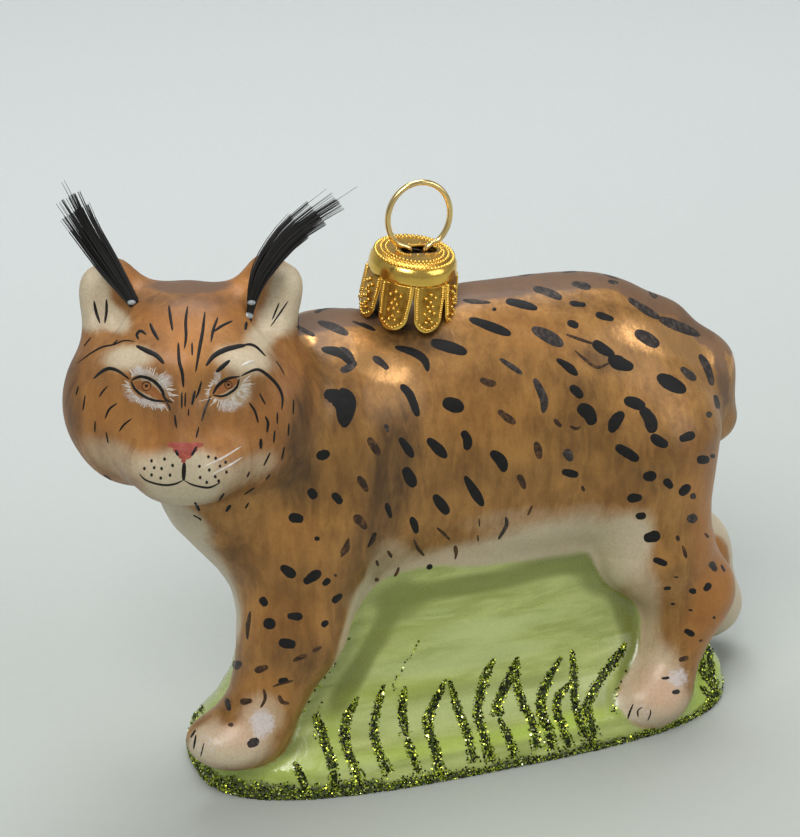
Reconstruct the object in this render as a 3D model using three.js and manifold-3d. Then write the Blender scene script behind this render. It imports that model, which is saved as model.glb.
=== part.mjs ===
// A blown-glass lynx ornament: a spotted lynx stepping over a grass-green glass
// foot, with a gold crown cap, a wire hanger and bristle ear tufts.
// Millimetres. +X runs from the head end to the tail end, -Y is the side that the
// face turns to, +Z is up, and the origin is the centre of the flat foot.
import * as THREE from "three";
import { mergeVertices } from "three/addons/utils/BufferGeometryUtils.js";
import Module from "manifold-3d";

const wasm = await Module();
wasm.setup();

// Driving dimensions.
const PART_GAP = 0.3; // clear space between neighbouring pieces
const FOOT_CORNER = 2.9; // how square the foot's plan is: 2 is an ellipse
const FOOT_MIDDLE = 0.3; // its middle along x
const CAP_SEAT = new THREE.Vector3(-8.1, 0, 65.9); // middle of the cap's lower rim
const CAP = { height: 9.4, rim: 6.7, shoulder: 5.95, top: 5.1, wall: 0.45 };
const CAP_LEAN = { tail: 5.6, viewer: 5 }; // degrees off upright
const PETALS = { count: 8, turn: 28, slit: 0.5, mouth: 2.2, rise: 6.6 }; // slits between petals
const SLOT = { length: 5.2, width: 2.4, shift: 0.6 }; // in the cap's top, for the wire
const MOUTH = { outer: 4.6, inner: 3.7, top: 7.9, well: -6 }; // glass tube in the cap
const WIRE = 0.4; // radius of the hanger wire
const RING = { across: 4.45, up: 4.85, middle: 4.7, from: 252, to: -75, points: 12 }; // its loop
const TUFT = { locks: 11, core: 1.5, lock: 0.55, tip: 0.24, ragged: 2.2, depth: 1.4 }; // ear bristles
const HEAD = { at: new THREE.Vector3(-40.6, -5, 61), turn: 18.5, lift: 10 };
const BLEND = 4; // how far neighbouring forms of the animal melt into one another
const GRASS_BLEND = 2; // the same where the animal meets the grass
const HOLLOW_BLEND = 1.6; // softness of the rims of the ear cups and eye sockets
const BODY_STEP = 2.7; // size of the facets on the body
const PINCH_FILL = 0.05; // depth of glass put where two surfaces nearly touch
const HEAD_STEP = 1.6; // size of the facets on the head

const DEG = Math.PI / 180;
const V = (x, y, z) => new THREE.Vector3(x, y, z);

// The head's own frame: x to the viewer's right, y up the face, z out of the face.
const headFrame = (() => {
  const forward = V(-Math.sin(HEAD.turn * DEG), -Math.cos(HEAD.turn * DEG), 0);
  const right = V(Math.cos(HEAD.turn * DEG), -Math.sin(HEAD.turn * DEG), 0);
  const up = V(0, 0, 1);
  const out = forward.clone().multiplyScalar(Math.cos(HEAD.lift * DEG));
  out.addScaledVector(up, Math.sin(HEAD.lift * DEG));
  const crown = new THREE.Vector3().crossVectors(out, right);
  return new THREE.Matrix4().makeBasis(right, crown, out).setPosition(HEAD.at);
})();
const bodyFrame = new THREE.Matrix4();

// Distance forms. Each takes a point and returns about how far it lies outside.
function ellipsoid(at, radii, turn = [0, 0, 0], frame = bodyFrame) {
  const place = new THREE.Matrix4().makeRotationFromEuler(
    new THREE.Euler(turn[0] * DEG, turn[1] * DEG, turn[2] * DEG),
  );
  place.setPosition(...at);
  const inverse = place.premultiply(frame).invert();
  const [a, b, c] = radii;
  const q = V(0, 0, 0);
  return (p) => {
    q.copy(p).applyMatrix4(inverse);
    const near = Math.hypot(q.x / a, q.y / b, q.z / c);
    const slope = Math.hypot(q.x / (a * a), q.y / (b * b), q.z / (c * c));
    return slope < 1e-9 ? -Math.min(a, b, c) : (near * (near - 1)) / slope;
  };
}

function limb(from, startRadius, to, endRadius, frame = bodyFrame) {
  const start = V(...from).applyMatrix4(frame);
  const axis = V(...to).applyMatrix4(frame).sub(start);
  const length2 = axis.lengthSq();
  const q = V(0, 0, 0);
  return (p) => {
    q.copy(p).sub(start);
    const share = THREE.MathUtils.clamp(q.dot(axis) / length2, 0, 1);
    q.addScaledVector(axis, -share);
    return q.length() - THREE.MathUtils.lerp(startRadius, endRadius, share);
  };
}

// The grass foot and the green panel between the legs: a rounded oblong plan whose
// half length and half width change with height.
const GRASS_PROFILE = [
  [-3, 39.9, 15.4],
  [0, 40.3, 15.6],
  [1.5, 40.6, 15.8],
  [4.5, 40.1, 15.1],
  [6.5, 38.9, 13.2],
  [9.5, 36.7, 10.6],
  [14, 34.3, 8.6],
  [22, 32.3, 7.6],
  [34, 30.3, 7.6],
];
function grassForm(p) {
  const low = GRASS_PROFILE[0][0];
  const top = GRASS_PROFILE[GRASS_PROFILE.length - 1][0];
  const z = THREE.MathUtils.clamp(p.z, low, top);
  let i = 1;
  while (GRASS_PROFILE[i][0] < z) i++;
  const [z0, length0, width0] = GRASS_PROFILE[i - 1];
  const [z1, length1, width1] = GRASS_PROFILE[i];
  const share = (z - z0) / (z1 - z0);
  const halfLength = THREE.MathUtils.lerp(length0, length1, share);
  const halfWidth = THREE.MathUtils.lerp(width0, width1, share);
  const reach = Math.pow(
    Math.pow(Math.abs(p.x - FOOT_MIDDLE) / halfLength, FOOT_CORNER) +
      Math.pow(Math.abs(p.y) / halfWidth, FOOT_CORNER),
    1 / FOOT_CORNER,
  );
  return Math.max((reach - 1) * halfWidth, p.z - top, low - p.z);
}

const sides = [-1, 1];
const headForms = [
  ellipsoid([0, 1.5, -1], [13.4, 12.4, 12], [0, 0, 0], headFrame),
  ellipsoid([0, 7.4, 1.5], [9.5, 6.8, 8.5], [0, 0, 0], headFrame),
  ellipsoid([0, -10, 6.6], [5.8, 3.2, 4.6], [0, 0, 0], headFrame),
  limb([0, 5, 9.2], 3, [0, -4.2, 12.4], 1.9, headFrame),
  ...sides.flatMap((s) => [
    ellipsoid([s * 9.3, -1.2, 0.5], [7.2, 9, 8.2], [0, 0, 0], headFrame),
    ellipsoid([s * 7.8, -7.6, 0.5], [4, 3.6, 5], [0, 0, 0], headFrame),
    ellipsoid([s * 3.2, -7, 9], [4.4, 3.4, 4], [0, 0, 0], headFrame),
    ellipsoid([s * 5.4, 5.8, 7.8], [4.4, 2.2, 3], [0, 0, s * -14], headFrame),
  ]),
];

// Ears: a rounded cup with a blunt bar along its top, from the tip to the outer corner.
const EARS = [
  { side: -1, cup: 8.8, tip: [9.5, 15.9], corner: [11.2, 14.4] },
  { side: 1, cup: 9.8, tip: [10.5, 16.4], corner: [12.7, 14.5] },
];
const earForms = ({ side, cup, tip, corner }) => [
  ellipsoid([side * cup, 10.8, -1.6], [4.7, 5.2, 3], [0, 0, side * -20], headFrame),
  limb([side * tip[0], tip[1], -2], 1.5, [side * corner[0], corner[1], -2.2], 2, headFrame),
];
const hollows = EARS.flatMap(({ side, cup }) => [
  ellipsoid([side * (cup + 1.3), 12.4, 2.8], [2.6, 3.9, 2.6], [0, 0, side * -14], headFrame),
  ellipsoid([side * 5.2, 3.7, 14.4], [3.6, 2, 3.2], [0, 0, side * 12], headFrame),
]);
const hindNear = [
  limb([24.8, -4.6, 43.4], 12.4, [26.8, -7.2, 29], 8),
  limb([27, -7.2, 28], 7.4, [32.6, -8, 20], 5.8),
  limb([32.8, -8, 19.4], 5.6, [29, -9.8, 9.4], 4.3),
  ellipsoid([25.2, -12.2, 5.2], [5.6, 4.2, 3.9]),
];
const hindFar = [
  limb([22, 4.2, 43], 11.6, [30.4, 6.2, 28], 6.8),
  limb([31.6, 6.2, 24], 6, [38.6, 5.6, 18.4], 5.8),
  limb([38.6, 5.6, 18.2], 5.8, [43.2, 7, 8], 5.4),
  ellipsoid([35, 10.6, 5.4], [6.2, 4.2, 3.9]),
];
const foreNear = [
  limb([-24, -4.2, 40], 10, [-27.4, -7.6, 25], 6.7),
  limb([-27.4, -7.6, 25], 6.7, [-32.4, -8.6, 13.4], 5.2),
  ellipsoid([-37, -9.2, 9.4], [6.6, 5.2, 4], [0, 8, 0]),
];
const foreFar = [
  limb([-20, 4.2, 40], 10, [-17.5, 8, 23], 6.5),
  limb([-17.5, 8, 23], 6.3, [-14.5, 9, 12.5], 4.8),
  ellipsoid([-18, 10.2, 8], [6.6, 5, 4]),
];
const forms = {
  grass_foot: [grassForm],
  torso: [
    ellipsoid([-17, 0, 46.5], [18, 13, 20]),
    ellipsoid([2, 0, 46.6], [24, 12.4, 21.8]),
    ellipsoid([15.6, 0, 47.2], [20.8, 13.2, 20.6]),
  ],
  neck: [
    limb([-36, -2.5, 55], 11, [-22, 0, 52], 14),
    limb([-34, -2.5, 46], 10.2, [-24.4, -1, 32], 9.2),
  ],
  head: headForms,
  ear_left: earForms(EARS[0]),
  ear_right: earForms(EARS[1]),
  front_leg_left: foreNear,
  front_leg_right: foreFar,
  hind_leg_left: hindNear,
  hind_leg_right: hindFar,
  tail: [
    limb([30.6, 0, 57.4], 3.8, [36.6, 0, 51], 4.2),
    limb([36.6, 0, 51], 4.2, [38.6, 0, 43], 4),
  ],
};
const blend = (a, b, k) => {
  const near = Math.max(k - Math.abs(a - b), 0) / k;
  return Math.min(a, b) - (near * near * k) / 4;
};
const animal = (p) => {
  let d = 1e3;
  for (const [name, list] of Object.entries(forms))
    if (name !== "grass_foot") for (const form of list) d = blend(d, form(p), BLEND);
  return d;
};
const glass = (p) =>
  hollows.reduce(
    (d, hollow) => -blend(-d, hollow(p), HOLLOW_BLEND),
    blend(animal(p), grassForm(p), GRASS_BLEND),
  );

// Where the corners of a grid face lie in and out by turns, the surface would touch
// itself along an edge, so the outer corner nearest to it is taken in.
function fillPinches(value, count) {
  const stride = [1, count[0], count[0] * count[1]];
  let filled = 1;
  while (filled) {
    filled = 0;
    for (let here = 0; here < value.length; here++)
      for (let m = 0; m < 3; m++) {
        const u = stride[m];
        const w = stride[(m + 1) % 3];
        if (here + u + w >= value.length) continue;
        const face = [here, here + u, here + u + w, here + w];
        const outer = face.filter((c) => value[c] >= 0);
        if (outer.length !== 2 || face.indexOf(outer[1]) - face.indexOf(outer[0]) !== 2) continue;
        const nearest = value[outer[0]] < value[outer[1]] ? outer[0] : outer[1];
        value[nearest] = -PINCH_FILL;
        filled++;
      }
  }
}

// Closed surface where a field crosses zero inside a box: one point for each grid
// cell that the surface crosses, joined round each crossed grid edge.
function surfaceOf(field, low, high, step) {
  const count = ["x", "y", "z"].map(
    (k) => Math.ceil((high[k] - low[k]) / step) + 1,
  );
  const [nx, ny, nz] = count;
  const at = (i, j, k) => i + nx * (j + ny * k);
  const value = new Float32Array(nx * ny * nz);
  const p = V(0, 0, 0);
  for (let k = 0; k < nz; k++)
    for (let j = 0; j < ny; j++)
      for (let i = 0; i < nx; i++) {
        p.set(low.x + i * step, low.y + j * step, low.z + k * step);
        const edge =
          i === 0 || j === 0 || k === 0 || i === nx - 1 || j === ny - 1 || k === nz - 1;
        const d = field(p);
        value[at(i, j, k)] = edge ? Math.max(d, step * 0.3) : d;
      }
  fillPinches(value, count);
  const corner = [0, 1, 2, 3, 4, 5, 6, 7].map((c) => [c & 1, (c >> 1) & 1, c >> 2]);
  const pairs = [];
  for (let a = 0; a < 8; a++)
    for (const bit of [1, 2, 4]) if (!(a & bit)) pairs.push([a, a | bit]);
  const cellPoint = new Int32Array(nx * ny * nz).fill(-1);
  const points = [];
  for (let k = 0; k < nz - 1; k++)
    for (let j = 0; j < ny - 1; j++)
      for (let i = 0; i < nx - 1; i++) {
        const d = corner.map(([a, b, c]) => value[at(i + a, j + b, k + c)]);
        const sum = [0, 0, 0];
        let crossings = 0;
        for (const [a, b] of pairs) {
          if (d[a] < 0 === d[b] < 0) continue;
          const share = d[a] / (d[a] - d[b]);
          for (let m = 0; m < 3; m++)
            sum[m] += corner[a][m] + share * (corner[b][m] - corner[a][m]);
          crossings++;
        }
        if (!crossings) continue;
        cellPoint[at(i, j, k)] = points.length / 3;
        points.push(
          low.x + step * (i + sum[0] / crossings),
          low.y + step * (j + sum[1] / crossings),
          low.z + step * (k + sum[2] / crossings),
        );
      }
  const faces = [];
  const stride = [1, nx, nx * ny];
  for (let k = 0; k < nz - 1; k++)
    for (let j = 0; j < ny - 1; j++)
      for (let i = 0; i < nx - 1; i++)
        for (let m = 0; m < 3; m++) {
          const here = at(i, j, k);
          const inside = value[here] < 0;
          if (inside === value[here + stride[m]] < 0) continue;
          const u = stride[(m + 1) % 3];
          const w = stride[(m + 2) % 3];
          const ring = [here - u - w, here - w, here, here - u].map((c) => cellPoint[c]);
          if (!inside) ring.reverse();
          faces.push(ring[0], ring[1], ring[2], ring[0], ring[2], ring[3]);
        }
  return new THREE.BufferGeometry()
    .setAttribute("position", new THREE.Float32BufferAttribute(points, 3))
    .setIndex(faces);
}

function solid(geometry) {
  let bare = geometry.clone();
  for (const name of Object.keys(bare.attributes))
    if (name !== "position") bare.deleteAttribute(name);
  if (!bare.index || Object.keys(geometry.attributes).length > 1)
    bare = mergeVertices(bare, 1e-4);
  return new wasm.Manifold(
    new wasm.Mesh({
      numProp: 3,
      vertProperties: new Float32Array(bare.attributes.position.array),
      triVerts: new Uint32Array(bare.index.array),
    }),
  );
}

function geometryOf(manifold) {
  const mesh = manifold.getMesh();
  return new THREE.BufferGeometry()
    .setAttribute("position", new THREE.BufferAttribute(mesh.vertProperties, mesh.numProp))
    .setIndex(new THREE.BufferAttribute(mesh.triVerts, 1))
    .toNonIndexed();
}

const largest = (manifold) =>
  manifold.decompose().reduce((best, m) => (m.volume() > best.volume() ? m : best));

// A cutter: an outline drawn in a frame and run between two depths, grown by a margin.
function cutter(outline, [back, front], frame, margin) {
  const points = outline.map((q) => new THREE.Vector2(...q));
  const turn = THREE.ShapeUtils.isClockWise(points) ? -1 : 1;
  const wide = points.map((q, i) => {
    const before = points.at(i - 1);
    const after = points[(i + 1) % points.length];
    const [n0, n1] = [q.clone().sub(before), after.clone().sub(q)].map((e) =>
      new THREE.Vector2(e.y, -e.x).normalize().multiplyScalar(turn),
    );
    const mitre = n0.clone().add(n1);
    return q.clone().addScaledVector(mitre, (2 * margin) / mitre.lengthSq());
  });
  const depth = front - back + 2 * margin;
  return solid(
    new THREE.ExtrudeGeometry(new THREE.Shape(wide), { depth, bevelEnabled: false })
      .translate(0, 0, back - margin)
      .applyMatrix4(frame),
  );
}

// Side view frame: an outline's x runs toward the tail, its y up, its depth toward -Y.
const sideFrame = new THREE.Matrix4().makeRotationX(90 * DEG);
const FAR = 40; // past the ornament's sides
const NEAR_SIDE = [1.6, FAR];
const FAR_SIDE = [-FAR, -1.6];
const mirrored = (outline) => outline.map(([x, y]) => [-x, y]);

// Outlines that part the glass into pieces: ears and head in the head's frame, the
// others in the side view.
const EAR_CUT = [[5.2, 9.4], [22, 9.4], [22, 24], [5.2, 24]];
const EAR_DEPTHS = [-12, 3.4];
const HEAD_CUT = [[-24, -16.8], [16.6, -16.8], [17.4, 18], [-24, 18]];
const HEAD_DEPTHS = [-6.5, 24];
const TAIL_CUT = [[27, 64], [33.4, 56.4], [35.4, 50], [35.2, 38], [46, 38], [46, 64]];
const TAIL_DEPTHS = [-4.6, 4.6];
const FORELEG_NEAR = [
  [-24, 43], [-32, 40], [-37.2, 33], [-37.6, 24], [-38.2, 17], [-42, 16.5], [-46.5, 11], [-45, 5.6],
  [-36, 5.6], [-31.4, 7.2], [-27.6, 11], [-23.4, 17.2], [-19, 25.8], [-15.5, 32], [-17, 39.5],
];
const FORELEG_FAR = [
  [-22, 43], [-27, 40], [-27.5, 32], [-25, 22], [-22.4, 15], [-26.2, 9.5], [-25.6, 4.6], [-12, 4.6],
  [-8.8, 9], [-8.8, 12], [-10.4, 23], [-9.6, 32], [-12, 40],
];
const HIND_NEAR = [
  [22, 50], [12, 44], [11.5, 37], [16, 29.5], [22, 21.6], [23.8, 15.5], [21.4, 11.4], [18.6, 7.4],
  [18.6, 1.2], [33.2, 1.2], [35.6, 8], [38.6, 13], [41, 19.5], [38.5, 25.5], [36.4, 29.5], [38.4, 36],
  [38, 45], [30, 50],
];
const HIND_FAR = [
  [20, 50], [10, 44], [11, 37], [20, 30], [28, 23], [31.6, 15], [30.4, 11], [27.6, 7.6],
  [27.6, 1.6], [44.6, 1.6], [49.6, 6], [49.4, 13], [47.4, 19], [45, 25], [41, 31], [37.2, 38],
  [36, 44], [30, 50],
];
const CHEST_CUT = [[-17, 84], [-21.5, 60], [-26, 40], [-30, 25.2], [-38, 19.5], [-72, 14], [-72, 84]];
const BELLY_CUT = [
  [-30.6, 22], [-22, 26.4], [-14, 27], [6, 27.4], [18, 27], [26, 26], [34, 26.5], [60, 28], [60, 84],
  [-34, 84],
];

// The whole glass, from which each named piece is cut off.
const WHOLE_BOX = [V(-68, -34, -6), V(54, 24, 92)];
const HEAD_BOX = [V(-68, -36, 38), V(-14, 20, 94)];
const belowTable = solid(new THREE.BoxGeometry(200, 200, 20).translate(0, 0, -10));
let rest = solid(surfaceOf(glass, ...WHOLE_BOX, BODY_STEP)).subtract(belowTable);
let fineHead = solid(surfaceOf(glass, ...HEAD_BOX, HEAD_STEP));
function cutOff(outline, depths, frame) {
  const wide = cutter(outline, depths, frame, PART_GAP);
  const piece = rest.intersect(cutter(outline, depths, frame, 0));
  rest = rest.subtract(wide);
  return largest(piece);
}
function cutOffHead(outline, depths) {
  const piece = fineHead.intersect(cutter(outline, depths, headFrame, 0));
  const wide = cutter(outline, depths, headFrame, PART_GAP);
  fineHead = fineHead.subtract(wide);
  rest = rest.subtract(wide);
  return largest(piece);
}

const paint = (color, roughness, metalness) =>
  new THREE.MeshStandardMaterial({ color, roughness, metalness });
const finishes = {
  amber: paint(0xb9854f, 0.35, 0.35),
  cream: paint(0xd9c7ac, 0.4, 0.1),
  green: paint(0x9fb356, 0.3, 0.15),
  gold: paint(0xd8b04a, 0.28, 0.95),
  bristle: paint(0x17181c, 0.5, 0),
};

const ornament = new THREE.Group();
function add(name, shape, material) {
  const mesh = new THREE.Mesh(geometryOf(shape), material);
  mesh.name = name;
  ornament.add(mesh);
  return mesh;
}

add("ear_left", cutOffHead(mirrored(EAR_CUT), EAR_DEPTHS), finishes.cream);
add("ear_right", cutOffHead(EAR_CUT, EAR_DEPTHS), finishes.cream);
add("head", cutOffHead(HEAD_CUT, HEAD_DEPTHS), finishes.amber);
add("tail", cutOff(TAIL_CUT, TAIL_DEPTHS, sideFrame), finishes.amber);
add("front_leg_left", cutOff(FORELEG_NEAR, NEAR_SIDE, sideFrame), finishes.amber);
add("front_leg_right", cutOff(FORELEG_FAR, FAR_SIDE, sideFrame), finishes.amber);
add("hind_leg_left", cutOff(HIND_NEAR, NEAR_SIDE, sideFrame), finishes.amber);
add("hind_leg_right", cutOff(HIND_FAR, FAR_SIDE, sideFrame), finishes.amber);
add("neck", cutOff(CHEST_CUT, [-FAR, FAR], sideFrame), finishes.amber);

// Torso, with the silvered glass mouth that stands open inside the cap.
const capFrame = new THREE.Matrix4()
  .makeRotationFromEuler(new THREE.Euler(CAP_LEAN.viewer * DEG, CAP_LEAN.tail * DEG, 0))
  .setPosition(CAP_SEAT);
const drum = (radius, low, high) =>
  solid(
    new THREE.CylinderGeometry(radius, radius, high - low, 24)
      .rotateX(90 * DEG)
      .translate(0, 0, (low + high) / 2)
      .applyMatrix4(capFrame),
  );
const torso = cutOff(BELLY_CUT, [-FAR, FAR], sideFrame)
  .add(drum(MOUTH.outer, -3, MOUTH.top))
  .subtract(drum(MOUTH.inner, MOUTH.well, MOUTH.top + 1));
add("torso", largest(torso), finishes.amber);
add("grass_foot", largest(rest), finishes.green);

// Crown cap: a turned shell with eight petals, trimmed where it meets the back.
function crownCap() {
  const { height, rim, shoulder, top, wall } = CAP;
  const profile = [
    [0, height], [top - 0.5, height], [top, height - 0.15], [shoulder, height - 0.8],
    [shoulder + 0.1, height - 2], [rim, 0], [rim - wall, 0], [shoulder - wall, height - 2],
    [top - 0.3, height - wall - 0.5], [0, height - wall],
  ];
  const shell = new THREE.LatheGeometry(profile.reverse().map((q) => new THREE.Vector2(...q)), 40);
  let cap = solid(shell.rotateX(90 * DEG));
  const slit = new THREE.Shape();
  slit.moveTo(-PETALS.mouth / 2, -1);
  slit.lineTo(PETALS.mouth / 2, -1);
  slit.lineTo(PETALS.slit / 2, PETALS.rise * 0.45);
  slit.lineTo(PETALS.slit / 2, PETALS.rise);
  slit.lineTo(-PETALS.slit / 2, PETALS.rise);
  slit.lineTo(-PETALS.slit / 2, PETALS.rise * 0.45);
  for (let i = 0; i < PETALS.count; i++)
    cap = cap.subtract(
      solid(
        new THREE.ExtrudeGeometry(slit, { depth: rim + 1, bevelEnabled: false })
          .rotateX(90 * DEG)
          .rotateZ(((i / PETALS.count) * 360 + PETALS.turn) * DEG),
      ),
    );
  const slot = new THREE.BoxGeometry(SLOT.length, SLOT.width, 4).translate(SLOT.shift, 0, height);
  return cap.subtract(solid(slot));
}
const moved = (shape, frame) => solid(geometryOf(shape).applyMatrix4(frame));
const roundBack = solid(surfaceOf((p) => glass(p) - PART_GAP, ...WHOLE_BOX, BODY_STEP));
add("hanger_cap", largest(moved(crownCap(), capFrame).subtract(roundBack)), finishes.gold);

// Hanger: one wire, looped above the slot, its two legs sprung apart in the glass mouth.
const WIRE_LEG = [[-2.6, -6.2], [-1.5, -2.6]];
const WIRE_SIDES = 8;
const loopSeat = V(SLOT.shift, 0, CAP.height).applyMatrix4(capFrame);
const loop = Array.from({ length: RING.points + 1 }, (_, i) => {
  const turn = THREE.MathUtils.lerp(RING.from, RING.to, i / RING.points) * DEG;
  const place = V(RING.across * Math.cos(turn), 0, RING.middle + RING.up * Math.sin(turn));
  return place.add(loopSeat);
});
const leg = (side) => WIRE_LEG.map(([x, z]) => V(side * x, 0, CAP.height + z).applyMatrix4(capFrame));
const wirePath = new THREE.CatmullRomCurve3([...leg(1), ...loop, ...leg(-1).reverse()]);
const wireSection = new THREE.Shape();
wireSection.absarc(0, 0, WIRE, 0, 2 * Math.PI);
add(
  "hanger_wire",
  solid(
    new THREE.ExtrudeGeometry(wireSection, {
      steps: 56,
      curveSegments: WIRE_SIDES / 2,
      extrudePath: wirePath,
      bevelEnabled: false,
    }),
  ),
  finishes.gold,
);

// A tapered strand bent along a curve of points in the head's frame.
function strand(points, rootRadius, tipRadius, sideCount, stepCount) {
  const curve = new THREE.CatmullRomCurve3(points.map((q) => V(...q)));
  const tube = new THREE.CylinderGeometry(tipRadius, rootRadius, 1, sideCount, stepCount);
  const place = tube.attributes.position;
  const across = V(0, 0, 1);
  for (let i = 0; i < place.count; i++) {
    const share = place.getY(i) + 0.5;
    const along = curve.getTangentAt(share);
    const aside = V(0, 0, 0).crossVectors(along, across).normalize();
    const over = V(0, 0, 0).crossVectors(aside, along);
    const q = curve.getPointAt(share);
    q.addScaledVector(aside, place.getX(i)).addScaledVector(over, place.getZ(i));
    place.setXYZ(i, ...q);
  }
  return solid(tube.applyMatrix4(headFrame));
}

// Ear tufts: bristles glued into each ear, fanning out to their own tips.
const roundHead = solid(surfaceOf((p) => glass(p) - PART_GAP, ...HEAD_BOX, HEAD_STEP));
const TUFT_ROOT = { left: [-6.4, 10.4, 3.4], right: [8.2, 10.2, 3.4] };
const TUFT_MIDDLE = { left: [-9.9, 17.6, 3.4], right: [11, 18, 3.4] };
const TUFT_END = { left: [-13.9, 26.4, 2.2], right: [18.9, 26.2, 2.2] };
const TUFT_FAN = { left: 1.9, right: 1.9 }; // half width across the tips
for (const side of ["left", "right"]) {
  const [root, middle, end] = [TUFT_ROOT, TUFT_MIDDLE, TUFT_END].map((list) => list[side]);
  const fanned = (point, share) => {
    const across = V(end[1] - middle[1], middle[0] - end[0], 0).normalize();
    return [point[0] + across.x * share, point[1] + across.y * share, point[2]];
  };
  let tuft = strand([root, middle, end], TUFT.core, TUFT.core / 3, 8, 6);
  for (let i = 0; i < TUFT.locks; i++) {
    const share = (2 * i) / (TUFT.locks - 1) - 1;
    const tip = fanned(end, share * TUFT_FAN[side]);
    tip[1] -= TUFT.ragged * Math.abs(Math.sin(i * 2.4));
    tip[2] += TUFT.depth * Math.sin(i * 1.7);
    const lock = [fanned(root, share * 0.5), fanned(middle, share * 1.1), tip];
    tuft = tuft.add(strand(lock, TUFT.lock, TUFT.tip, 4, 5));
  }
  add(`ear_tuft_${side}`, largest(tuft.subtract(roundHead)), finishes.bristle);
}

export default ornament;
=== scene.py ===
# A blown-glass lynx ornament on its grassy foot, for the Blender render.
# Lengths in the form's own numbers are millimetres, as in the solids; MM turns them
# into metres. Pixels are those of the 800 by 837 photograph.
import math
import random

import bmesh
import bpy
import numpy as np
from mathutils import Matrix, Vector
from mathutils.bvhtree import BVHTree


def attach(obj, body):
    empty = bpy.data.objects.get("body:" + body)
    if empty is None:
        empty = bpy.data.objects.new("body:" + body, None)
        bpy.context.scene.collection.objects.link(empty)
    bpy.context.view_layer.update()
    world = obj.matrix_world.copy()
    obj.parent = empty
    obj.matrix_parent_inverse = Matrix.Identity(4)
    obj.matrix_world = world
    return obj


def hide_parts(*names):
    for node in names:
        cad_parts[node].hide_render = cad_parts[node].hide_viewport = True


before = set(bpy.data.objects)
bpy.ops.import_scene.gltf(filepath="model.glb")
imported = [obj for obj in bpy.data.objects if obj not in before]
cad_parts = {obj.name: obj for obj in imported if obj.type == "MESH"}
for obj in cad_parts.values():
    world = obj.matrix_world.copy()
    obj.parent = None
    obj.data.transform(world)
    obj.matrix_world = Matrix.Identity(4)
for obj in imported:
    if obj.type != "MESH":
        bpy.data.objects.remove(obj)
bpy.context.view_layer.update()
MM = 0.001
rng = random.Random(7)

# Photograph's camera
PHOTO = (800, 837)
CAMERA_TURN = math.radians(-20)
CAMERA_RISE = math.radians(25)
CAMERA_AWAY = 400
CAMERA_TARGET = np.array([-9.0, 0.0, 50.0])
PIXELS_PER_MM = 7.22
FOCAL_PIXELS = PIXELS_PER_MM * CAMERA_AWAY
SENSOR = 36

BACK = np.array(
    [
        math.sin(CAMERA_TURN) * math.cos(CAMERA_RISE),
        -math.cos(CAMERA_TURN) * math.cos(CAMERA_RISE),
        math.sin(CAMERA_RISE),
    ]
)
EYE = CAMERA_TARGET + BACK * CAMERA_AWAY
RIGHT = np.cross(-BACK, [0, 0, 1])
RIGHT /= np.linalg.norm(RIGHT)
UP = np.cross(RIGHT, -BACK)
NEAR, FAR = 1, -1  # the photographed side, and the same view mirrored onto the far side


def pixel_of(points, side=NEAR):
    """Photo pixels of points in millimetres, seen from the near or the mirrored camera."""
    offset = points * [1, side, 1] - EYE
    depth = offset @ -BACK
    across = PHOTO[0] / 2 + FOCAL_PIXELS * (offset @ RIGHT) / depth
    down = PHOTO[1] / 2 - FOCAL_PIXELS * (offset @ UP) / depth
    return np.stack([across, down], axis=-1)


def pixel_ray(x, y, side=NEAR):
    """Start and direction of the ray through a photo pixel, in millimetres."""
    way = -BACK * FOCAL_PIXELS + RIGHT * (x - PHOTO[0] / 2) - UP * (y - PHOTO[1] / 2)
    way = way / np.linalg.norm(way) * [1, side, 1]
    return Vector(EYE * [1, side, 1]), Vector(way)


# Distance forms of the glass, the same as the solids are cut from
HEAD_AT = (-40.6, -5, 61)
HEAD_TURN, HEAD_LIFT = math.radians(18.5), math.radians(10)
FOOT_CORNER, FOOT_MIDDLE = 2.9, 0.3
BLEND, GRASS_BLEND, HOLLOW_BLEND = 4, 2, 1.6


def head_matrix():
    """Head frame: x to the viewer's right, y up the face, z out of the face."""
    forward = np.array([-math.sin(HEAD_TURN), -math.cos(HEAD_TURN), 0])
    right = np.array([math.cos(HEAD_TURN), -math.sin(HEAD_TURN), 0])
    out = forward * math.cos(HEAD_LIFT) + np.array([0, 0, math.sin(HEAD_LIFT)])
    matrix = np.eye(4)
    matrix[:3, 0], matrix[:3, 1], matrix[:3, 2] = right, np.cross(out, right), out
    matrix[:3, 3] = HEAD_AT
    return matrix


BODY = np.eye(4)
HEAD = head_matrix()


def ellipsoid(at, radii, turn=0, place=BODY, pitch=0):
    """Ellipsoid turned about its own z by turn, and about y by pitch, in degrees."""
    spin = Matrix.Rotation(math.radians(pitch), 4, "Y") @ Matrix.Rotation(math.radians(turn), 4, "Z")
    local = np.array(spin)
    local[:3, 3] = at
    inverse = np.linalg.inv(place @ local)
    radii = np.array(radii, float)

    def distance(points):
        q = points @ inverse[:3, :3].T + inverse[:3, 3]
        near = np.linalg.norm(q / radii, axis=-1)
        slope = np.maximum(np.linalg.norm(q / radii**2, axis=-1), 1e-9)
        return near * (near - 1) / slope

    return distance


def limb(start, start_radius, end, end_radius, place=BODY):
    """Round-ended limb whose radius changes from its start to its end."""
    start = place[:3, :3] @ np.array(start, float) + place[:3, 3]
    axis = place[:3, :3] @ np.array(end, float) + place[:3, 3] - start

    def distance(points):
        q = points - start
        share = np.clip(q @ axis / (axis @ axis), 0, 1)
        gap = np.linalg.norm(q - share[..., None] * axis, axis=-1)
        return gap - (start_radius + (end_radius - start_radius) * share)

    return distance


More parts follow.
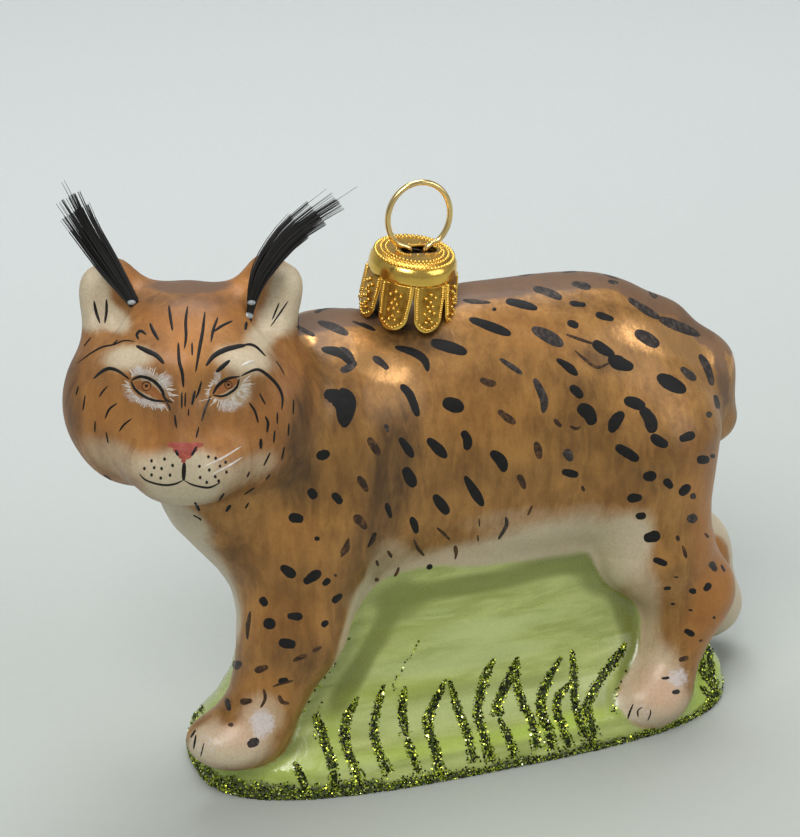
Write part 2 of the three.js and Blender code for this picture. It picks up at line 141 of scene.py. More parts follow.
GRASS_PROFILE = [
    (-3, 39.9, 15.4), (0, 40.3, 15.6), (1.5, 40.6, 15.8), (4.5, 40.1, 15.1), (6.5, 38.9, 13.2),
    (9.5, 36.7, 10.6), (14, 34.3, 8.6), (22, 32.3, 7.6), (34, 30.3, 7.6),
]


def grass_form(points):
    """The foot and the panel between the legs: a rounded oblong that changes with height."""
    heights, lengths, widths = np.array(GRASS_PROFILE).T
    z = np.clip(points[..., 2], heights[0], heights[-1])
    length = np.interp(z, heights, lengths)
    width = np.interp(z, heights, widths)
    reach = (
        np.abs((points[..., 0] - FOOT_MIDDLE) / length) ** FOOT_CORNER
        + np.abs(points[..., 1] / width) ** FOOT_CORNER
    ) ** (1 / FOOT_CORNER)
    lid = np.maximum(points[..., 2] - heights[-1], heights[0] - points[..., 2])
    return np.maximum((reach - 1) * width, lid)


SIDES = (-1, 1)
head_forms = [
    ellipsoid([0, 1.5, -1], [13.4, 12.4, 12], 0, HEAD),
    ellipsoid([0, 7.4, 1.5], [9.5, 6.8, 8.5], 0, HEAD),
    ellipsoid([0, -10, 6.6], [5.8, 3.2, 4.6], 0, HEAD),
    limb([0, 5, 9.2], 3, [0, -4.2, 12.4], 1.9, HEAD),
]
EARS = {-1: (8.8, (9.5, 15.9), (11.2, 14.4)), 1: (9.8, (10.5, 16.4), (12.7, 14.5))}
ear_forms = []
hollows = []
for s in SIDES:
    head_forms += [
        ellipsoid([s * 9.3, -1.2, 0.5], [7.2, 9, 8.2], 0, HEAD),
        ellipsoid([s * 7.8, -7.6, 0.5], [4, 3.6, 5], 0, HEAD),
        ellipsoid([s * 3.2, -7, 9], [4.4, 3.4, 4], 0, HEAD),
        ellipsoid([s * 5.4, 5.8, 7.8], [4.4, 2.2, 3], s * -14, HEAD),
    ]
    cup, tip, corner = EARS[s]
    ear_forms += [
        ellipsoid([s * cup, 10.8, -1.6], [4.7, 5.2, 3], s * -20, HEAD),
        limb([s * tip[0], tip[1], -2], 1.5, [s * corner[0], corner[1], -2.2], 2, HEAD),
    ]
    hollows += [
        ellipsoid([s * (cup + 1.3), 12.4, 2.8], [2.6, 3.9, 2.6], s * -14, HEAD),
        ellipsoid([s * 5.2, 3.7, 14.4], [3.6, 2, 3.2], s * 12, HEAD),
    ]
body_forms = [
    ellipsoid([-17, 0, 46.5], [18, 13, 20]),
    ellipsoid([2, 0, 46.6], [24, 12.4, 21.8]),
    ellipsoid([15.6, 0, 47.2], [20.8, 13.2, 20.6]),
    limb([-36, -2.5, 55], 11, [-22, 0, 52], 14),
    limb([-34, -2.5, 46], 10.2, [-24.4, -1, 32], 9.2),
]
leg_forms = [
    limb([24.8, -4.6, 43.4], 12.4, [26.8, -7.2, 29], 8),
    limb([27, -7.2, 28], 7.4, [32.6, -8, 20], 5.8),
    limb([32.8, -8, 19.4], 5.6, [29, -9.8, 9.4], 4.3),
    ellipsoid([25.2, -12.2, 5.2], [5.6, 4.2, 3.9]),
    limb([22, 4.2, 43], 11.6, [30.4, 6.2, 28], 6.8),
    limb([31.6, 6.2, 24], 6, [38.6, 5.6, 18.4], 5.8),
    limb([38.6, 5.6, 18.2], 5.8, [43.2, 7, 8], 5.4),
    ellipsoid([35, 10.6, 5.4], [6.2, 4.2, 3.9]),
    limb([-24, -4.2, 40], 10, [-27.4, -7.6, 25], 6.7),
    limb([-27.4, -7.6, 25], 6.7, [-32.4, -8.6, 13.4], 5.2),
    ellipsoid([-37, -9.2, 9.4], [6.6, 5.2, 4], pitch=8),
    limb([-20, 4.2, 40], 10, [-17.5, 8, 23], 6.5),
    limb([-17.5, 8, 23], 6.3, [-14.5, 9, 12.5], 4.8),
    ellipsoid([-18, 10.2, 8], [6.6, 5, 4]),
]
tail_forms = [
    limb([30.6, 0, 57.4], 3.8, [36.6, 0, 51], 4.2),
    limb([36.4, 0, 51], 4.2, [38.6, 0, 43], 4),
]


def blend(a, b, melt):
    """Smallest of two distances, melted together where they are alike."""
    near = np.maximum(melt - np.abs(a - b), 0) / melt
    return np.minimum(a, b) - near * near * melt / 4


def animal(points):
    distance = np.full(points.shape[:-1], 1e3)
    for form in body_forms + head_forms + ear_forms + leg_forms + tail_forms:
        distance = blend(distance, form(points), BLEND)
    return distance


def glass(points):
    distance = blend(animal(points), grass_form(points), GRASS_BLEND)
    for hollow in hollows:
        distance = -blend(-distance, hollow(points), HOLLOW_BLEND)
    return np.maximum(distance, -points[..., 2])


# Skin mesh: one point in each grid cell that the surface crosses
SKIN_STEP = 0.52
COARSE = 4  # fine steps along a coarse block
FINE_WITHIN = 2.2  # blocks from the surface within which the field is worked out finely
BATCHES = 12
LEAST_SLOPE, LONGEST_PUSH = 0.2, 0.3
LOW, HIGH = np.array([-60.0, -23.0, -2.0]), np.array([51.0, 19.0, 82.0])


def sampled(field, low, step, shape):
    """Field values on a grid. Only blocks near the surface are worked out finely."""
    blocks = [n // COARSE + 2 for n in shape]
    axes = [low[k] + step * COARSE * np.arange(blocks[k]) for k in range(3)]
    coarse = field(np.stack(np.meshgrid(*axes, indexing="ij"), axis=-1))
    value = np.kron(coarse, np.ones((COARSE,) * 3))[tuple(slice(0, n) for n in shape)]
    near = np.argwhere(np.abs(value) < step * COARSE * FINE_WITHIN)
    for part in np.array_split(near, BATCHES):
        value[tuple(part.T)] = field(low + step * part)
    return value


def surface_net(field, low, high, step):
    """Points and four-sided faces of the surface where a field crosses zero."""
    shape = [int((high[k] - low[k]) / step) + 1 for k in range(3)]
    value = sampled(field, low, step, shape)
    inside = value < 0
    corners = [(a, b, c) for a in (0, 1) for b in (0, 1) for c in (0, 1)]
    core = [n - 1 for n in shape]
    views = [inside[a : a + core[0], b : b + core[1], c : c + core[2]] for a, b, c in corners]
    filled = sum(view.astype(np.int8) for view in views)
    cells = np.argwhere((filled > 0) & (filled < 8))
    number = np.full(shape, -1, np.int64)
    number[tuple(cells.T)] = np.arange(len(cells))
    at = [value[tuple((cells + corner).T)] for corner in corners]
    total = np.zeros((len(cells), 3))
    count = np.zeros(len(cells))
    for i, first in enumerate(corners):
        for j, second in enumerate(corners):
            if j <= i or sum(abs(a - b) for a, b in zip(first, second)) != 1:
                continue
            crossed = (at[i] < 0) != (at[j] < 0)
            share = at[i] / np.where(crossed, at[i] - at[j], 1)
            place = np.array(first) + share[:, None] * (np.array(second) - np.array(first))
            total += place * crossed[:, None]
            count += crossed
    points = low + step * (cells + total / count[:, None])
    faces = []
    for axis in range(3):
        ahead = np.roll(inside, -1, axis)
        edges = np.argwhere(inside != ahead)
        u, w = np.eye(3, dtype=int)[(axis + 1) % 3], np.eye(3, dtype=int)[(axis + 2) % 3]
        ring = np.stack([number[tuple((edges - s).T)] for s in (u + w, w, 0 * u, u)], axis=1)
        out = inside[tuple(edges.T)]
        ring[~out] = ring[~out][:, ::-1]
        faces.append(ring)
    return points, np.concatenate(faces)


def slopes(field, points, reach=0.04):
    """Gradient of a field at points."""
    return np.stack(
        [(field(points + reach * e) - field(points - reach * e)) / (2 * reach) for e in np.eye(3)],
        axis=-1,
    )


def settled(field, points, rounds=2):
    """Points moved onto the surface, with its outward directions there."""
    for _ in range(rounds):
        slope = slopes(field, points)
        push = field(points) / np.maximum((slope**2).sum(-1), LEAST_SLOPE)
        points = points - np.clip(push, -LONGEST_PUSH, LONGEST_PUSH)[:, None] * slope
    slope = slopes(field, points)
    return points, slope / np.maximum(np.linalg.norm(slope, axis=-1), 1e-6)[:, None]


def link(obj):
    bpy.context.scene.collection.objects.link(obj)
    return obj


def adopted(name, mesh, material):
    """The piece that a mesh in metres makes, riding on the root body."""
    mesh.materials.clear()
    mesh.materials.append(material)
    mesh.shade_smooth()
    piece = link(bpy.data.objects.new(name, mesh))
    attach(piece, "root")
    return piece


def give(piece, name, values):
    """Stores one number a point on a piece, for its material to read."""
    layer = piece.data.attributes.new(name, "FLOAT", "POINT")
    layer.data.foreach_set("value", np.asarray(values, np.float32))


def smooth(low, high, x):
    t = np.clip((x - low) / (high - low), 0, 1)
    return t * t * (3 - 2 * t)


# Shader expressions
class Value:
    """A shader value. Arithmetic on values adds math nodes to its sheet."""

    def __init__(self, sheet, socket):
        self.sheet = sheet
        self.socket = socket

    def __add__(self, other):
        return self.sheet.math("ADD", self, other)

    def __sub__(self, other):
        return self.sheet.math("SUBTRACT", self, other)

    def __rsub__(self, other):
        return self.sheet.math("SUBTRACT", other, self)

    def __mul__(self, other):
        return self.sheet.math("MULTIPLY", self, other)

    __radd__ = __add__
    __rmul__ = __mul__


class Sheet:
    """A material and the nodes that its shader expressions add. Numbers as keys are sockets."""

    def __init__(self, name):
        self.material = bpy.data.materials.new(name)
        self.material.use_nodes = True
        self.tree = self.material.node_tree
        self.surface = self.tree.nodes["Principled BSDF"]

    def feed(self, socket, value):
        if isinstance(value, Value):
            self.tree.links.new(value.socket, socket)
        elif isinstance(value, tuple) and len(socket.default_value) == 4:
            socket.default_value = (*value, 1)
        else:
            socket.default_value = value

    def node(self, kind, out, inputs, **settings):
        node = self.tree.nodes.new("ShaderNode" + kind)
        for key, setting in settings.items():
            setattr(node, key, setting)
        for key, value in inputs.items():
            self.feed(node.inputs[key], value)
        return Value(self, node.outputs[out])

    def math(self, kind, *values):
        return self.node("Math", 0, dict(enumerate(values)), operation=kind)

    def attribute(self, name):
        return self.node("Attribute", "Fac", {}, attribute_name=name)

    def place(self, stretch=(1, 1, 1)):
        spot = self.node("TexCoord", "Object", {})
        return self.node("Mapping", 0, {"Vector": spot, "Scale": stretch})

    def noise(self, size_mm, detail=3, rough=0.5, stretch=(1, 1, 1), twist=0.0):
        """Cloudy value from 0 to 1 with lumps of about that size."""
        inputs = {
            "Vector": self.place(stretch),
            "Scale": 1 / (size_mm * MM),
            "Detail": detail,
            "Roughness": rough,
            "Distortion": twist,
        }
        return self.node("TexNoise", "Fac", inputs)

    def ramp(self, value, low, high, bottom=0.0, top=1.0):
        """Value run smoothly from bottom at low to top at high."""
        inputs = {"Value": value, 1: low, 2: high, 3: bottom, 4: top}
        return self.node("MapRange", 0, inputs, interpolation_type="SMOOTHSTEP")

    def mix(self, share, first, second):
        inputs = {"Factor": share, 6: first, 7: second}
        return self.node("Mix", 2, inputs, data_type="RGBA")

    def bump(self, height, depth_mm, strength=1.0):
        inputs = {"Height": height, "Distance": depth_mm * MM, "Strength": strength}
        return self.node("Bump", 0, inputs)

    def finish(self, **inputs):
        for key, value in inputs.items():
            self.feed(self.surface.inputs[key.replace("_", " ")], value)
        return self.material


def rgb(code):
    """Linear colour of a web colour code, as shaders take it."""
    parts = [int(code[i : i + 2], 16) / 255 for i in (0, 2, 4)]
    return tuple(c / 12.92 if c <= 0.04045 else ((c + 0.055) / 1.055) ** 2.4 for c in parts)


# Small pieces, made in millimetres with mesh operators
def finished(name, bm, material, place=BODY):
    """The piece that a bmesh in millimetres makes, riding on the root body."""
    bm.transform(Matrix(place.tolist()))
    bm.transform(Matrix.Scale(MM, 4))
    mesh = bpy.data.meshes.new(name)
    bm.to_mesh(mesh)
    bm.free()
    return adopted(name, mesh, material)


def strands(name, paths, material, sides):
    """Round tubes along paths in millimetres. Each path's points carry their own radius."""
    curve = bpy.data.curves.new(name, "CURVE")
    curve.dimensions = "3D"
    curve.bevel_depth = MM
    curve.bevel_resolution = max(0, (sides - 4) // 2)
    curve.use_fill_caps = True
    for points, radii in paths:
        line = curve.splines.new("POLY")
        line.points.add(len(points) - 1)
        for point, place, radius in zip(line.points, points, radii):
            point.co = (*(place * MM), 1)
            point.radius = radius
    source = link(bpy.data.objects.new(name, curve))
    made = source.evaluated_get(bpy.context.evaluated_depsgraph_get())
    mesh = bpy.data.meshes.new_from_object(made)
    bpy.data.objects.remove(source)
    return adopted(name, mesh, material)


def spline(points, count):
    """Points at even shares of a smooth curve through some points."""
    knots = np.array(points, float)
    knots = np.vstack([2 * knots[0] - knots[1], knots, 2 * knots[-1] - knots[-2]])
    share = np.linspace(0, len(points) - 1, count)
    first = np.minimum(share.astype(int), len(points) - 2)
    t = (share - first)[:, None]
    a, b, c, d = (knots[first + k] for k in range(4))
    bend = (2 * a - 5 * b + 4 * c - d) * t**2 + (3 * (b - c) + d - a) * t**3
    return (2 * b + (c - a) * t + bend) / 2


def placed(points, place):
    return points @ place[:3, :3].T + place[:3, 3]


# Skin: the whole blown figure, parted in paint only, into the animal and its grassy foot
points, quads = surface_net(glass, LOW, HIGH, SKIN_STEP)
points, normals = settled(glass, points)
points[:, 2] = np.maximum(points[:, 2], 0)
SEAM_SOFTNESS = 0.35
green = smooth(-SEAM_SOFTNESS, SEAM_SOFTNESS, animal(points) - grass_form(points))


def skin_piece(name, chosen):
    """The chosen faces of the skin as a piece, and the numbers of the points that it uses."""
    used = np.unique(quads[chosen])
    renumber = np.zeros(len(points), int)
    renumber[used] = np.arange(len(used))
    mesh = bpy.data.meshes.new(name)
    mesh.from_pydata((points[used] * MM).tolist(), [], renumber[quads[chosen]].tolist())
    piece = adopted(name, mesh, None)
    mesh.normals_split_custom_set_from_vertices(normals[used].tolist())
    return piece, used


in_grass = green[quads].mean(axis=1) > 0.5
body, body_points = skin_piece("glass_body", ~in_grass)
grass, grass_points = skin_piece("glass_grass", in_grass)
LEGS = [f"{leg}_leg_{side}" for leg in ("front", "hind") for side in ("left", "right")]
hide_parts("ear_left", "ear_right", "head", "neck", "torso", "tail", *LEGS)
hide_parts("grass_foot")

# Crown cap, glass mouth and hanger, in the cap's frame
CAP_SEAT = (-8.1, 0, 65.9)
CAP_HEIGHT, CAP_WALL = 9.4, 0.3
CAP_OUTLINE = ((0, 6.7), (7.1, 6.05), (8.2, 5.9), (8.75, 5.6), (9.15, 5.1), (9.4, 4.4))
PETALS, PETAL_TURN, PETAL_RISE = 8, math.radians(28), 6.6
SLOT_AT, SLOT_LENGTH, SLOT_WIDTH = 0.6, 5.2, 2.4
SLOT_HALF = (SLOT_LENGTH - SLOT_WIDTH) / 2
SLOT_SIDE = 0.35  # half width of the slot's flat middle before it is drawn out
DISC_REACH = 4.1
CROWN_HEIGHTS = (9.4, 9.28, 9.15, 8.95, 8.75, 8.5, 8.2, 7.65, 7.1, PETAL_RISE)
CAP_LEAN = (math.radians(5), math.radians(5.6))
CAP = np.array(Matrix.Rotation(CAP_LEAN[0], 4, "X") @ Matrix.Rotation(CAP_LEAN[1], 4, "Y"))
CAP[:3, 3] = CAP_SEAT
PETAL_ANGLES = [PETAL_TURN + (i + 0.5) * 2 * math.pi / PETALS for i in range(PETALS)]


def cap_radius(z):
    heights, radii = zip(*CAP_OUTLINE)
    return np.interp(z, heights, radii)


def turned(outline, steps, closed=False):
    """A mesh turned from an outline of radii and heights."""
    bm = bmesh.new()
    verts = [bm.verts.new((r, 0, z)) for r, z in outline]
    edges = [bm.edges.new(pair) for pair in zip(verts, verts[1:] + verts[:closed])]
    bmesh.ops.spin(
        bm, geom=verts + edges, cent=(0, 0, 0), axis=(0, 0, 1), angle=2 * math.pi, steps=steps, use_merge=True
    )
    return bm


def crown_mesh():
    """Top disc with its slot, and the shoulder down to where the slits start."""
    flat = [(r, CAP_HEIGHT) for r in np.linspace(SLOT_WIDTH / 2, DISC_REACH, 6)]
    bm = turned(flat + [(cap_radius(z), z) for z in CROWN_HEIGHTS], 96)
    recess_shade = bm.verts.layers.float.new("recess_shade")
    for vert in bm.verts:
        reach = math.hypot(vert.co.x, vert.co.y)
        # Painted shade: the top inside the outer row of beads is darkened
        vert[recess_shade] = float(smooth(5.35, 5.0, reach) * 0.9) if vert.co.z > 8.9 else 0.0
        near_slot = 1 - smooth(SLOT_WIDTH / 2, 4.2, reach)
        side = np.clip(vert.co.x / SLOT_SIDE, -1, 1)
        vert.co.x += (side * SLOT_HALF + SLOT_AT) * near_slot
    bmesh.ops.recalc_face_normals(bm, faces=bm.faces)
    bmesh.ops.solidify(bm, geom=bm.faces[:], thickness=CAP_WALL)
    return bm


def petal_shape(u, v):
    """Place on a petal: u across from -1 to 1, v down from 0 to 1. Gives turn and height."""
    end = 2.5 * (1 - np.sqrt(1 - 0.95 * u**2))
    half = (math.pi / PETALS) * (0.985 - 0.16 * smooth(0.2, 1, v))
    return u * half, PETAL_RISE * (1 - v) + end * v


def add_petal(bm, centre):
    made = bmesh.ops.create_grid(bm, x_segments=22, y_segments=26, size=1)["verts"]
    recess_shade = bm.verts.layers.float["recess_shade"]
    for vert in made:
        u, v = float(vert.co.x), (1 - float(vert.co.y)) / 2
        turn, z = petal_shape(u, v)
        rim = max(abs(u), 1 - (1 - v) * 3.2)
        raised = 0.1 * (1 - smooth(0.0, 0.12, abs(rim - 0.62))) - 0.1 * smooth(0.72, 0.6, rim)
        # Painted shade: the petal's field inside its raised line is darkened
        vert[recess_shade] = float(smooth(0.86, 0.68, rim))
        radius = cap_radius(z) + raised
        vert.co = (radius * math.cos(centre + turn), radius * math.sin(centre + turn), z)
    faces = list({face for vert in made for face in vert.link_faces})
    bmesh.ops.recalc_face_normals(bm, faces=faces)
    bmesh.ops.solidify(bm, geom=faces, thickness=CAP_WALL)


def petals_mesh():
    bm = bmesh.new()
    bm.verts.layers.float.new("recess_shade")
    for centre in PETAL_ANGLES:
        add_petal(bm, centre)
    return bm


BEAD_RINGS = ((5.3, 0.31, 60), (4.6, 0.24, 54), (3.95, 0.24, 46))  # reach, size and count
SHOULDER_REACH, SHOULDER_HEIGHTS = (4.4, 5.1, 5.6), (9.4, 9.15, 8.75)
SLOT_BEADS, SLOT_BEAD_SIZE, SLOT_BEAD_GAP = 34, 0.17, 0.55
RIM_BEAD, INNER_BEAD, BEAD_RISE = 0.24, 0.3, 0.02
INNER_BEADS = [
    (0.0, 0.16), (0.3, 0.24), (-0.3, 0.24), (0, 0.32), (0.16, 0.42), (-0.16, 0.42), (0, 0.52),
    (0.3, 0.58), (-0.3, 0.58), (0, 0.68), (0.18, 0.76), (-0.18, 0.76),
]


def add_bead(bm, at, radius):
    bmesh.ops.create_icosphere(bm, subdivisions=1, radius=radius, matrix=Matrix.Translation(at))


def beads_mesh():
    """Rows of little beads pressed in the cap's top and round its petals."""
    bm = bmesh.new()
    for radius, size, count in BEAD_RINGS:
        z = float(np.interp(radius, SHOULDER_REACH, SHOULDER_HEIGHTS))
        for turn in np.arange(count) * 2 * math.pi / count:
            add_bead(bm, (radius * math.cos(turn), radius * math.sin(turn), z), size)
    around = SLOT_WIDTH / 2 + SLOT_BEAD_GAP
    for turn in np.arange(SLOT_BEADS) * 2 * math.pi / SLOT_BEADS:
        x = around * math.cos(turn)
        x += np.clip(x / SLOT_SIDE, -1, 1) * SLOT_HALF + SLOT_AT
        add_bead(bm, (x, around * math.sin(turn), CAP_HEIGHT), SLOT_BEAD_SIZE)
    rim = [(s * 0.8, v) for s in SIDES for v in np.linspace(0.06, 0.8, 14)]
    rim += [(u, 0.93 - 0.09 * abs(u)) for u in np.linspace(-0.62, 0.62, 8)]
    beads = [(q, RIM_BEAD) for q in rim] + [(q, INNER_BEAD) for q in INNER_BEADS]
    for centre in PETAL_ANGLES:
        for (u, v), size in beads:
            turn, z = petal_shape(u, v)
            reach = cap_radius(z) + BEAD_RISE
            turn += centre
            add_bead(bm, (reach * math.cos(turn), reach * math.sin(turn), float(z)), size)
    return bm


def stamped_gold(name, bright, deep, rough):
    """Thin gold-coloured metal, bright where it is rubbed and brown with painted shade in its recesses."""
    sheet = Sheet(name)
    tarnish = sheet.ramp(sheet.noise(1.6, 4, 0.6), 0.4, 0.75)
    grain = sheet.noise(0.25, 2, 0.5)
    # Painted shade in the recesses and clouds of tarnish turn the gold brown and rougher
    tarnish_and_shade = sheet.ramp(sheet.attribute("recess_shade") * 0.55 + tarnish * 0.25, 0.1, 0.95)
    return sheet.finish(
        Base_Color=sheet.mix(tarnish_and_shade, rgb(bright), rgb(deep)),
        Roughness=tarnish_and_shade * 0.22 + grain * 0.1 + rough,
        Metallic=1.0,
        Normal=sheet.bump(grain, 0.03, 0.5),
    )


cap_metal = stamped_gold("cap gold", "F2C863", "8A5A18", 0.15)
crown = finished("cap_crown", crown_mesh(), cap_metal, CAP)
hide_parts("hanger_cap")
finished("cap_petals", petals_mesh(), cap_metal, CAP)
finished("cap_beads", beads_mesh(), cap_metal, CAP)

MOUTH_OUTER, MOUTH_INNER, MOUTH_TOP, MOUTH_FOOT = 4.6, 3.9, 7.9, -3
LIP_WIDE, LIP_HIGH, WALL_DROP = 0.38, 0.35, 0.4


def mouth_mesh():
    """Silvered glass mouth standing in the cap, with a fire-rounded lip."""
    lip = (MOUTH_OUTER + MOUTH_INNER) / 2
    outline = [(MOUTH_OUTER, MOUTH_FOOT), (MOUTH_OUTER, MOUTH_TOP - WALL_DROP)]
    outline += [
        (lip + LIP_WIDE * math.cos(a), MOUTH_TOP - LIP_HIGH + LIP_HIGH * math.sin(a))
        for a in np.linspace(0.3, 2.8, 6)
    ]
    outline += [(MOUTH_INNER, MOUTH_TOP - WALL_DROP), (MOUTH_INNER, MOUTH_FOOT)]
    bm = turned(outline, 64, closed=True)
    bmesh.ops.recalc_face_normals(bm, faces=bm.faces)
    return bm


silver_sheet = Sheet("silvered glass")
silver_cloud = silver_sheet.noise(1.2, 3, 0.5)
silvered = silver_sheet.finish(
    Base_Color=silver_sheet.mix(silver_cloud, rgb("B9BCC0"), rgb("DADCDE")),
    Roughness=silver_cloud * 0.2 + 0.08,
    Metallic=1.0,
)
finished("glass_mouth", mouth_mesh(), silvered, CAP)

WIRE_RADIUS, WIRE_POINTS, WIRE_SIDES = 0.4, 200, 20
WIRE_LEG = [(-2.6, -6.2), (-1.5, -2.6)]
RING_ACROSS, RING_UP, RING_MIDDLE, RING_FROM, RING_TO = 4.45, 4.85, 4.7, 252, -75
ring_seat = placed(np.array([SLOT_AT, 0, CAP_HEIGHT]), CAP)
ring = [
    ring_seat + [RING_ACROSS * math.cos(a), 0, RING_MIDDLE + RING_UP * math.sin(a)]
    for a in np.radians(np.linspace(RING_FROM, RING_TO, 13))
]
legs = {s: [placed(np.array([s * x, 0, CAP_HEIGHT + z]), CAP) for x, z in WIRE_LEG] for s in SIDES}
wire_path = spline([*legs[1], *ring, *reversed(legs[-1])], WIRE_POINTS)
wire_line = (wire_path, np.full(WIRE_POINTS, WIRE_RADIUS))
wire_metal = stamped_gold("wire gold", "F2D391", "C79A4E", 0.14)
wire = strands("hanger_ring", [wire_line], wire_metal, WIRE_SIDES)
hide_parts("hanger_wire")

# Ear tufts: stiff black bristles, in the head's frame, from root to tip
TUFTS = {
    "left": [
        (-5.0, 10.4, 3.3), (-7.3, 14.4, 3.6), (-9.6, 18.2, 3.6), (-12.6, 23.2, 3.2), (-15.6, 29, 2.6),
    ],
    "right": [
        (8.3, 10.3, 3.3), (9.0, 14.2, 3.6), (10.6, 17.8, 3.6), (14.8, 22.6, 3.2), (23, 28, 2.6),
    ],
}
# Blobs of glue at the bristles' roots: place in the head's frame and size
ROOT_GLUE = [
    (-5.6, 11.4, 3.9, 0.65), (-6.8, 13.2, 4.1, 0.5), (8.2, 11.2, 3.9, 0.65), (8.7, 13, 4.1, 0.5),
]
GLUE_SHAPE = (1.1, 0.7, 0.8, 1)
CLUMPS = (-0.95, -0.5, -0.15, 0.1, 0.3, 0.75)
CLUMP_SPREAD, WIDEST_FAN, STRAY_SHARE, STRAY_FAN = 0.11, 1.1, 0.12, 1.2
FAN_WIDTHS = np.array([0.25, 0.8, 1.3, 1.7, 2.5])
FAN_DEPTHS = np.array([0.25, 0.5, 0.7, 0.9, 1.2])
BRISTLES = 210
BRISTLE_RADIUS = 0.095
BRISTLE_STEPS, BRISTLE_SKIP = 80, 6


def bristle(line, across):
    """One bristle beside a tuft's middle line, fanned out and cut at its own length."""
    fan, depth = rng.choice(CLUMPS) + rng.gauss(0, CLUMP_SPREAD), rng.uniform(-1, 1)
    stray = rng.random() < STRAY_SHARE
    fan = np.clip(fan, -WIDEST_FAN, WIDEST_FAN) * (STRAY_FAN if stray else 1)
    knots = np.array(line) + across * (fan * FAN_WIDTHS)[:, None]
    knots[:, 2] += depth * FAN_DEPTHS
    reach = rng.uniform(0.82, 1.0) - 0.08 * abs(fan)
    path = spline(spline(knots, 15), BRISTLE_STEPS)
    path = path[: max(8, int(BRISTLE_STEPS * reach))][::BRISTLE_SKIP]
    thick = BRISTLE_RADIUS * rng.uniform(0.8, 1.3)
    radii = thick * (1 - 0.7 * np.linspace(0, 1, len(path)) ** 3)
    return placed(path, HEAD), radii


bristle_sheet = Sheet("black bristle")
bristle_cloud = bristle_sheet.noise(1.1, 3, 0.6, (1, 1, 0.4))
bristle_black = bristle_sheet.finish(
    Base_Color=bristle_sheet.mix(bristle_cloud, rgb("060606"), rgb("1F1B1A")),
    Roughness=bristle_cloud * 0.25 + 0.3,
)
for side, line in TUFTS.items():
    run = np.array(line[-1]) - np.array(line[2])
    across = np.array([run[1], -run[0], 0]) / math.hypot(run[0], run[1])
    paths = [bristle(line, across) for _ in range(BRISTLES)]
    tuft = strands(f"tuft_bristles_{side}", paths, bristle_black, 4)
    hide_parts(f"ear_tuft_{side}")
root_glue = bmesh.new()
for x, y, z, size in ROOT_GLUE:
    blob = Matrix.Translation((x, y, z)) @ Matrix.Diagonal(GLUE_SHAPE)
    bmesh.ops.create_icosphere(root_glue, subdivisions=3, radius=size, matrix=blob)
glue_sheet = Sheet("pale glue")
glue_cloud = glue_sheet.noise(0.9, 3, 0.6)
pale_glue = glue_sheet.finish(
    Base_Color=glue_sheet.mix(glue_cloud, rgb("5E6468"), rgb("B4BABC")),
    Roughness=glue_cloud * 0.2 + 0.12,
    Normal=glue_sheet.bump(glue_cloud, 0.2, 0.6),
    Coat_Weight=0.6,
)
finished("tuft_glue", root_glue, pale_glue, HEAD)

# Soft airbrushed areas in photo pixels: middle, half sizes, turn in degrees, strength. The shade areas are
# painted shade, the bright golden ones painted highlight.
HEAD_PAINT = {
    "cream": [
        (183, 472, 46, 26, 0, 0.9), (184, 492, 40, 17, 0, 0.9), (116, 458, 44, 20, 22, 0.5),
        (252, 470, 34, 18, -30, 0.5), (128, 358, 30, 15, -5, 0.75), (244, 360, 34, 17, 8, 0.75),
        (94, 296, 18, 36, 0, 1), (112, 318, 22, 14, 30, 0.9), (288, 296, 21, 38, 0, 1),
        (270, 322, 16, 22, 20, 0.8), (152, 388, 20, 16, 10, 0.55), (236, 392, 20, 18, -10, 0.55),
        (258, 340, 18, 12, 30, 0.6), (86, 318, 14, 12, 0, 0.7),
    ],
    "white": [
        (143, 373, 15, 7, 25, 0.8), (165, 381, 9, 10, 40, 0.8), (150, 403, 22, 6, 15, 0.8),
        (128, 393, 7, 12, -30, 0.5), (217, 378, 6, 12, 10, 0.7), (230, 406, 15, 8, -8, 0.8),
        (246, 390, 8, 11, 20, 0.6), (236, 365, 14, 5, -15, 0.3), (262, 472, 13, 9, -30, 0.3),
        (272, 300, 8, 20, 20, 0.4),
    ],
    "warm": [
        (200, 312, 52, 18, 0, 0.8), (238, 290, 26, 17, -35, 1), (262, 268, 12, 14, 0, 0.9),
        (124, 281, 16, 13, 35, 1), (160, 315, 22, 16, 0, 0.6), (186, 344, 20, 30, 0, 0.7),
        (110, 405, 30, 26, 0, 0.4), (215, 430, 24, 18, 0, 0.5), (158, 430, 18, 18, 0, 0.5),
        (268, 420, 20, 30, 0, 0.3),
    ],
    "shade": [
        (72, 395, 10, 60, 0, 0.7), (300, 430, 12, 60, 8, 1), (290, 480, 26, 18, -40, 0.9),
        (130, 484, 34, 7, 24, 0.2), (186, 300, 60, 6, 0, 0.5), (228, 500, 40, 10, -25, 0.5),
        (176, 415, 7, 22, 0, 0.35), (96, 322, 6, 10, 0, 0.3), (205, 405, 8, 26, 10, 0.35),
        (190, 302, 60, 20, 0, 0.5),
    ],
    "ridge": [(190, 285, 46, 10, 0, 1)],
    # Painted highlight on the forehead and the muzzle
    "highlight_and_silver": [(245, 283, 12, 12, 0, 0.3), (222, 440, 12, 8, 0, 0.25), (150, 440, 16, 8, 0, 0.25)],
    "pink": [(105, 440, 36, 20, 0, 0.3), (262, 445, 22, 24, 0, 0.35), (284, 470, 14, 20, 0, 0.5)],
}
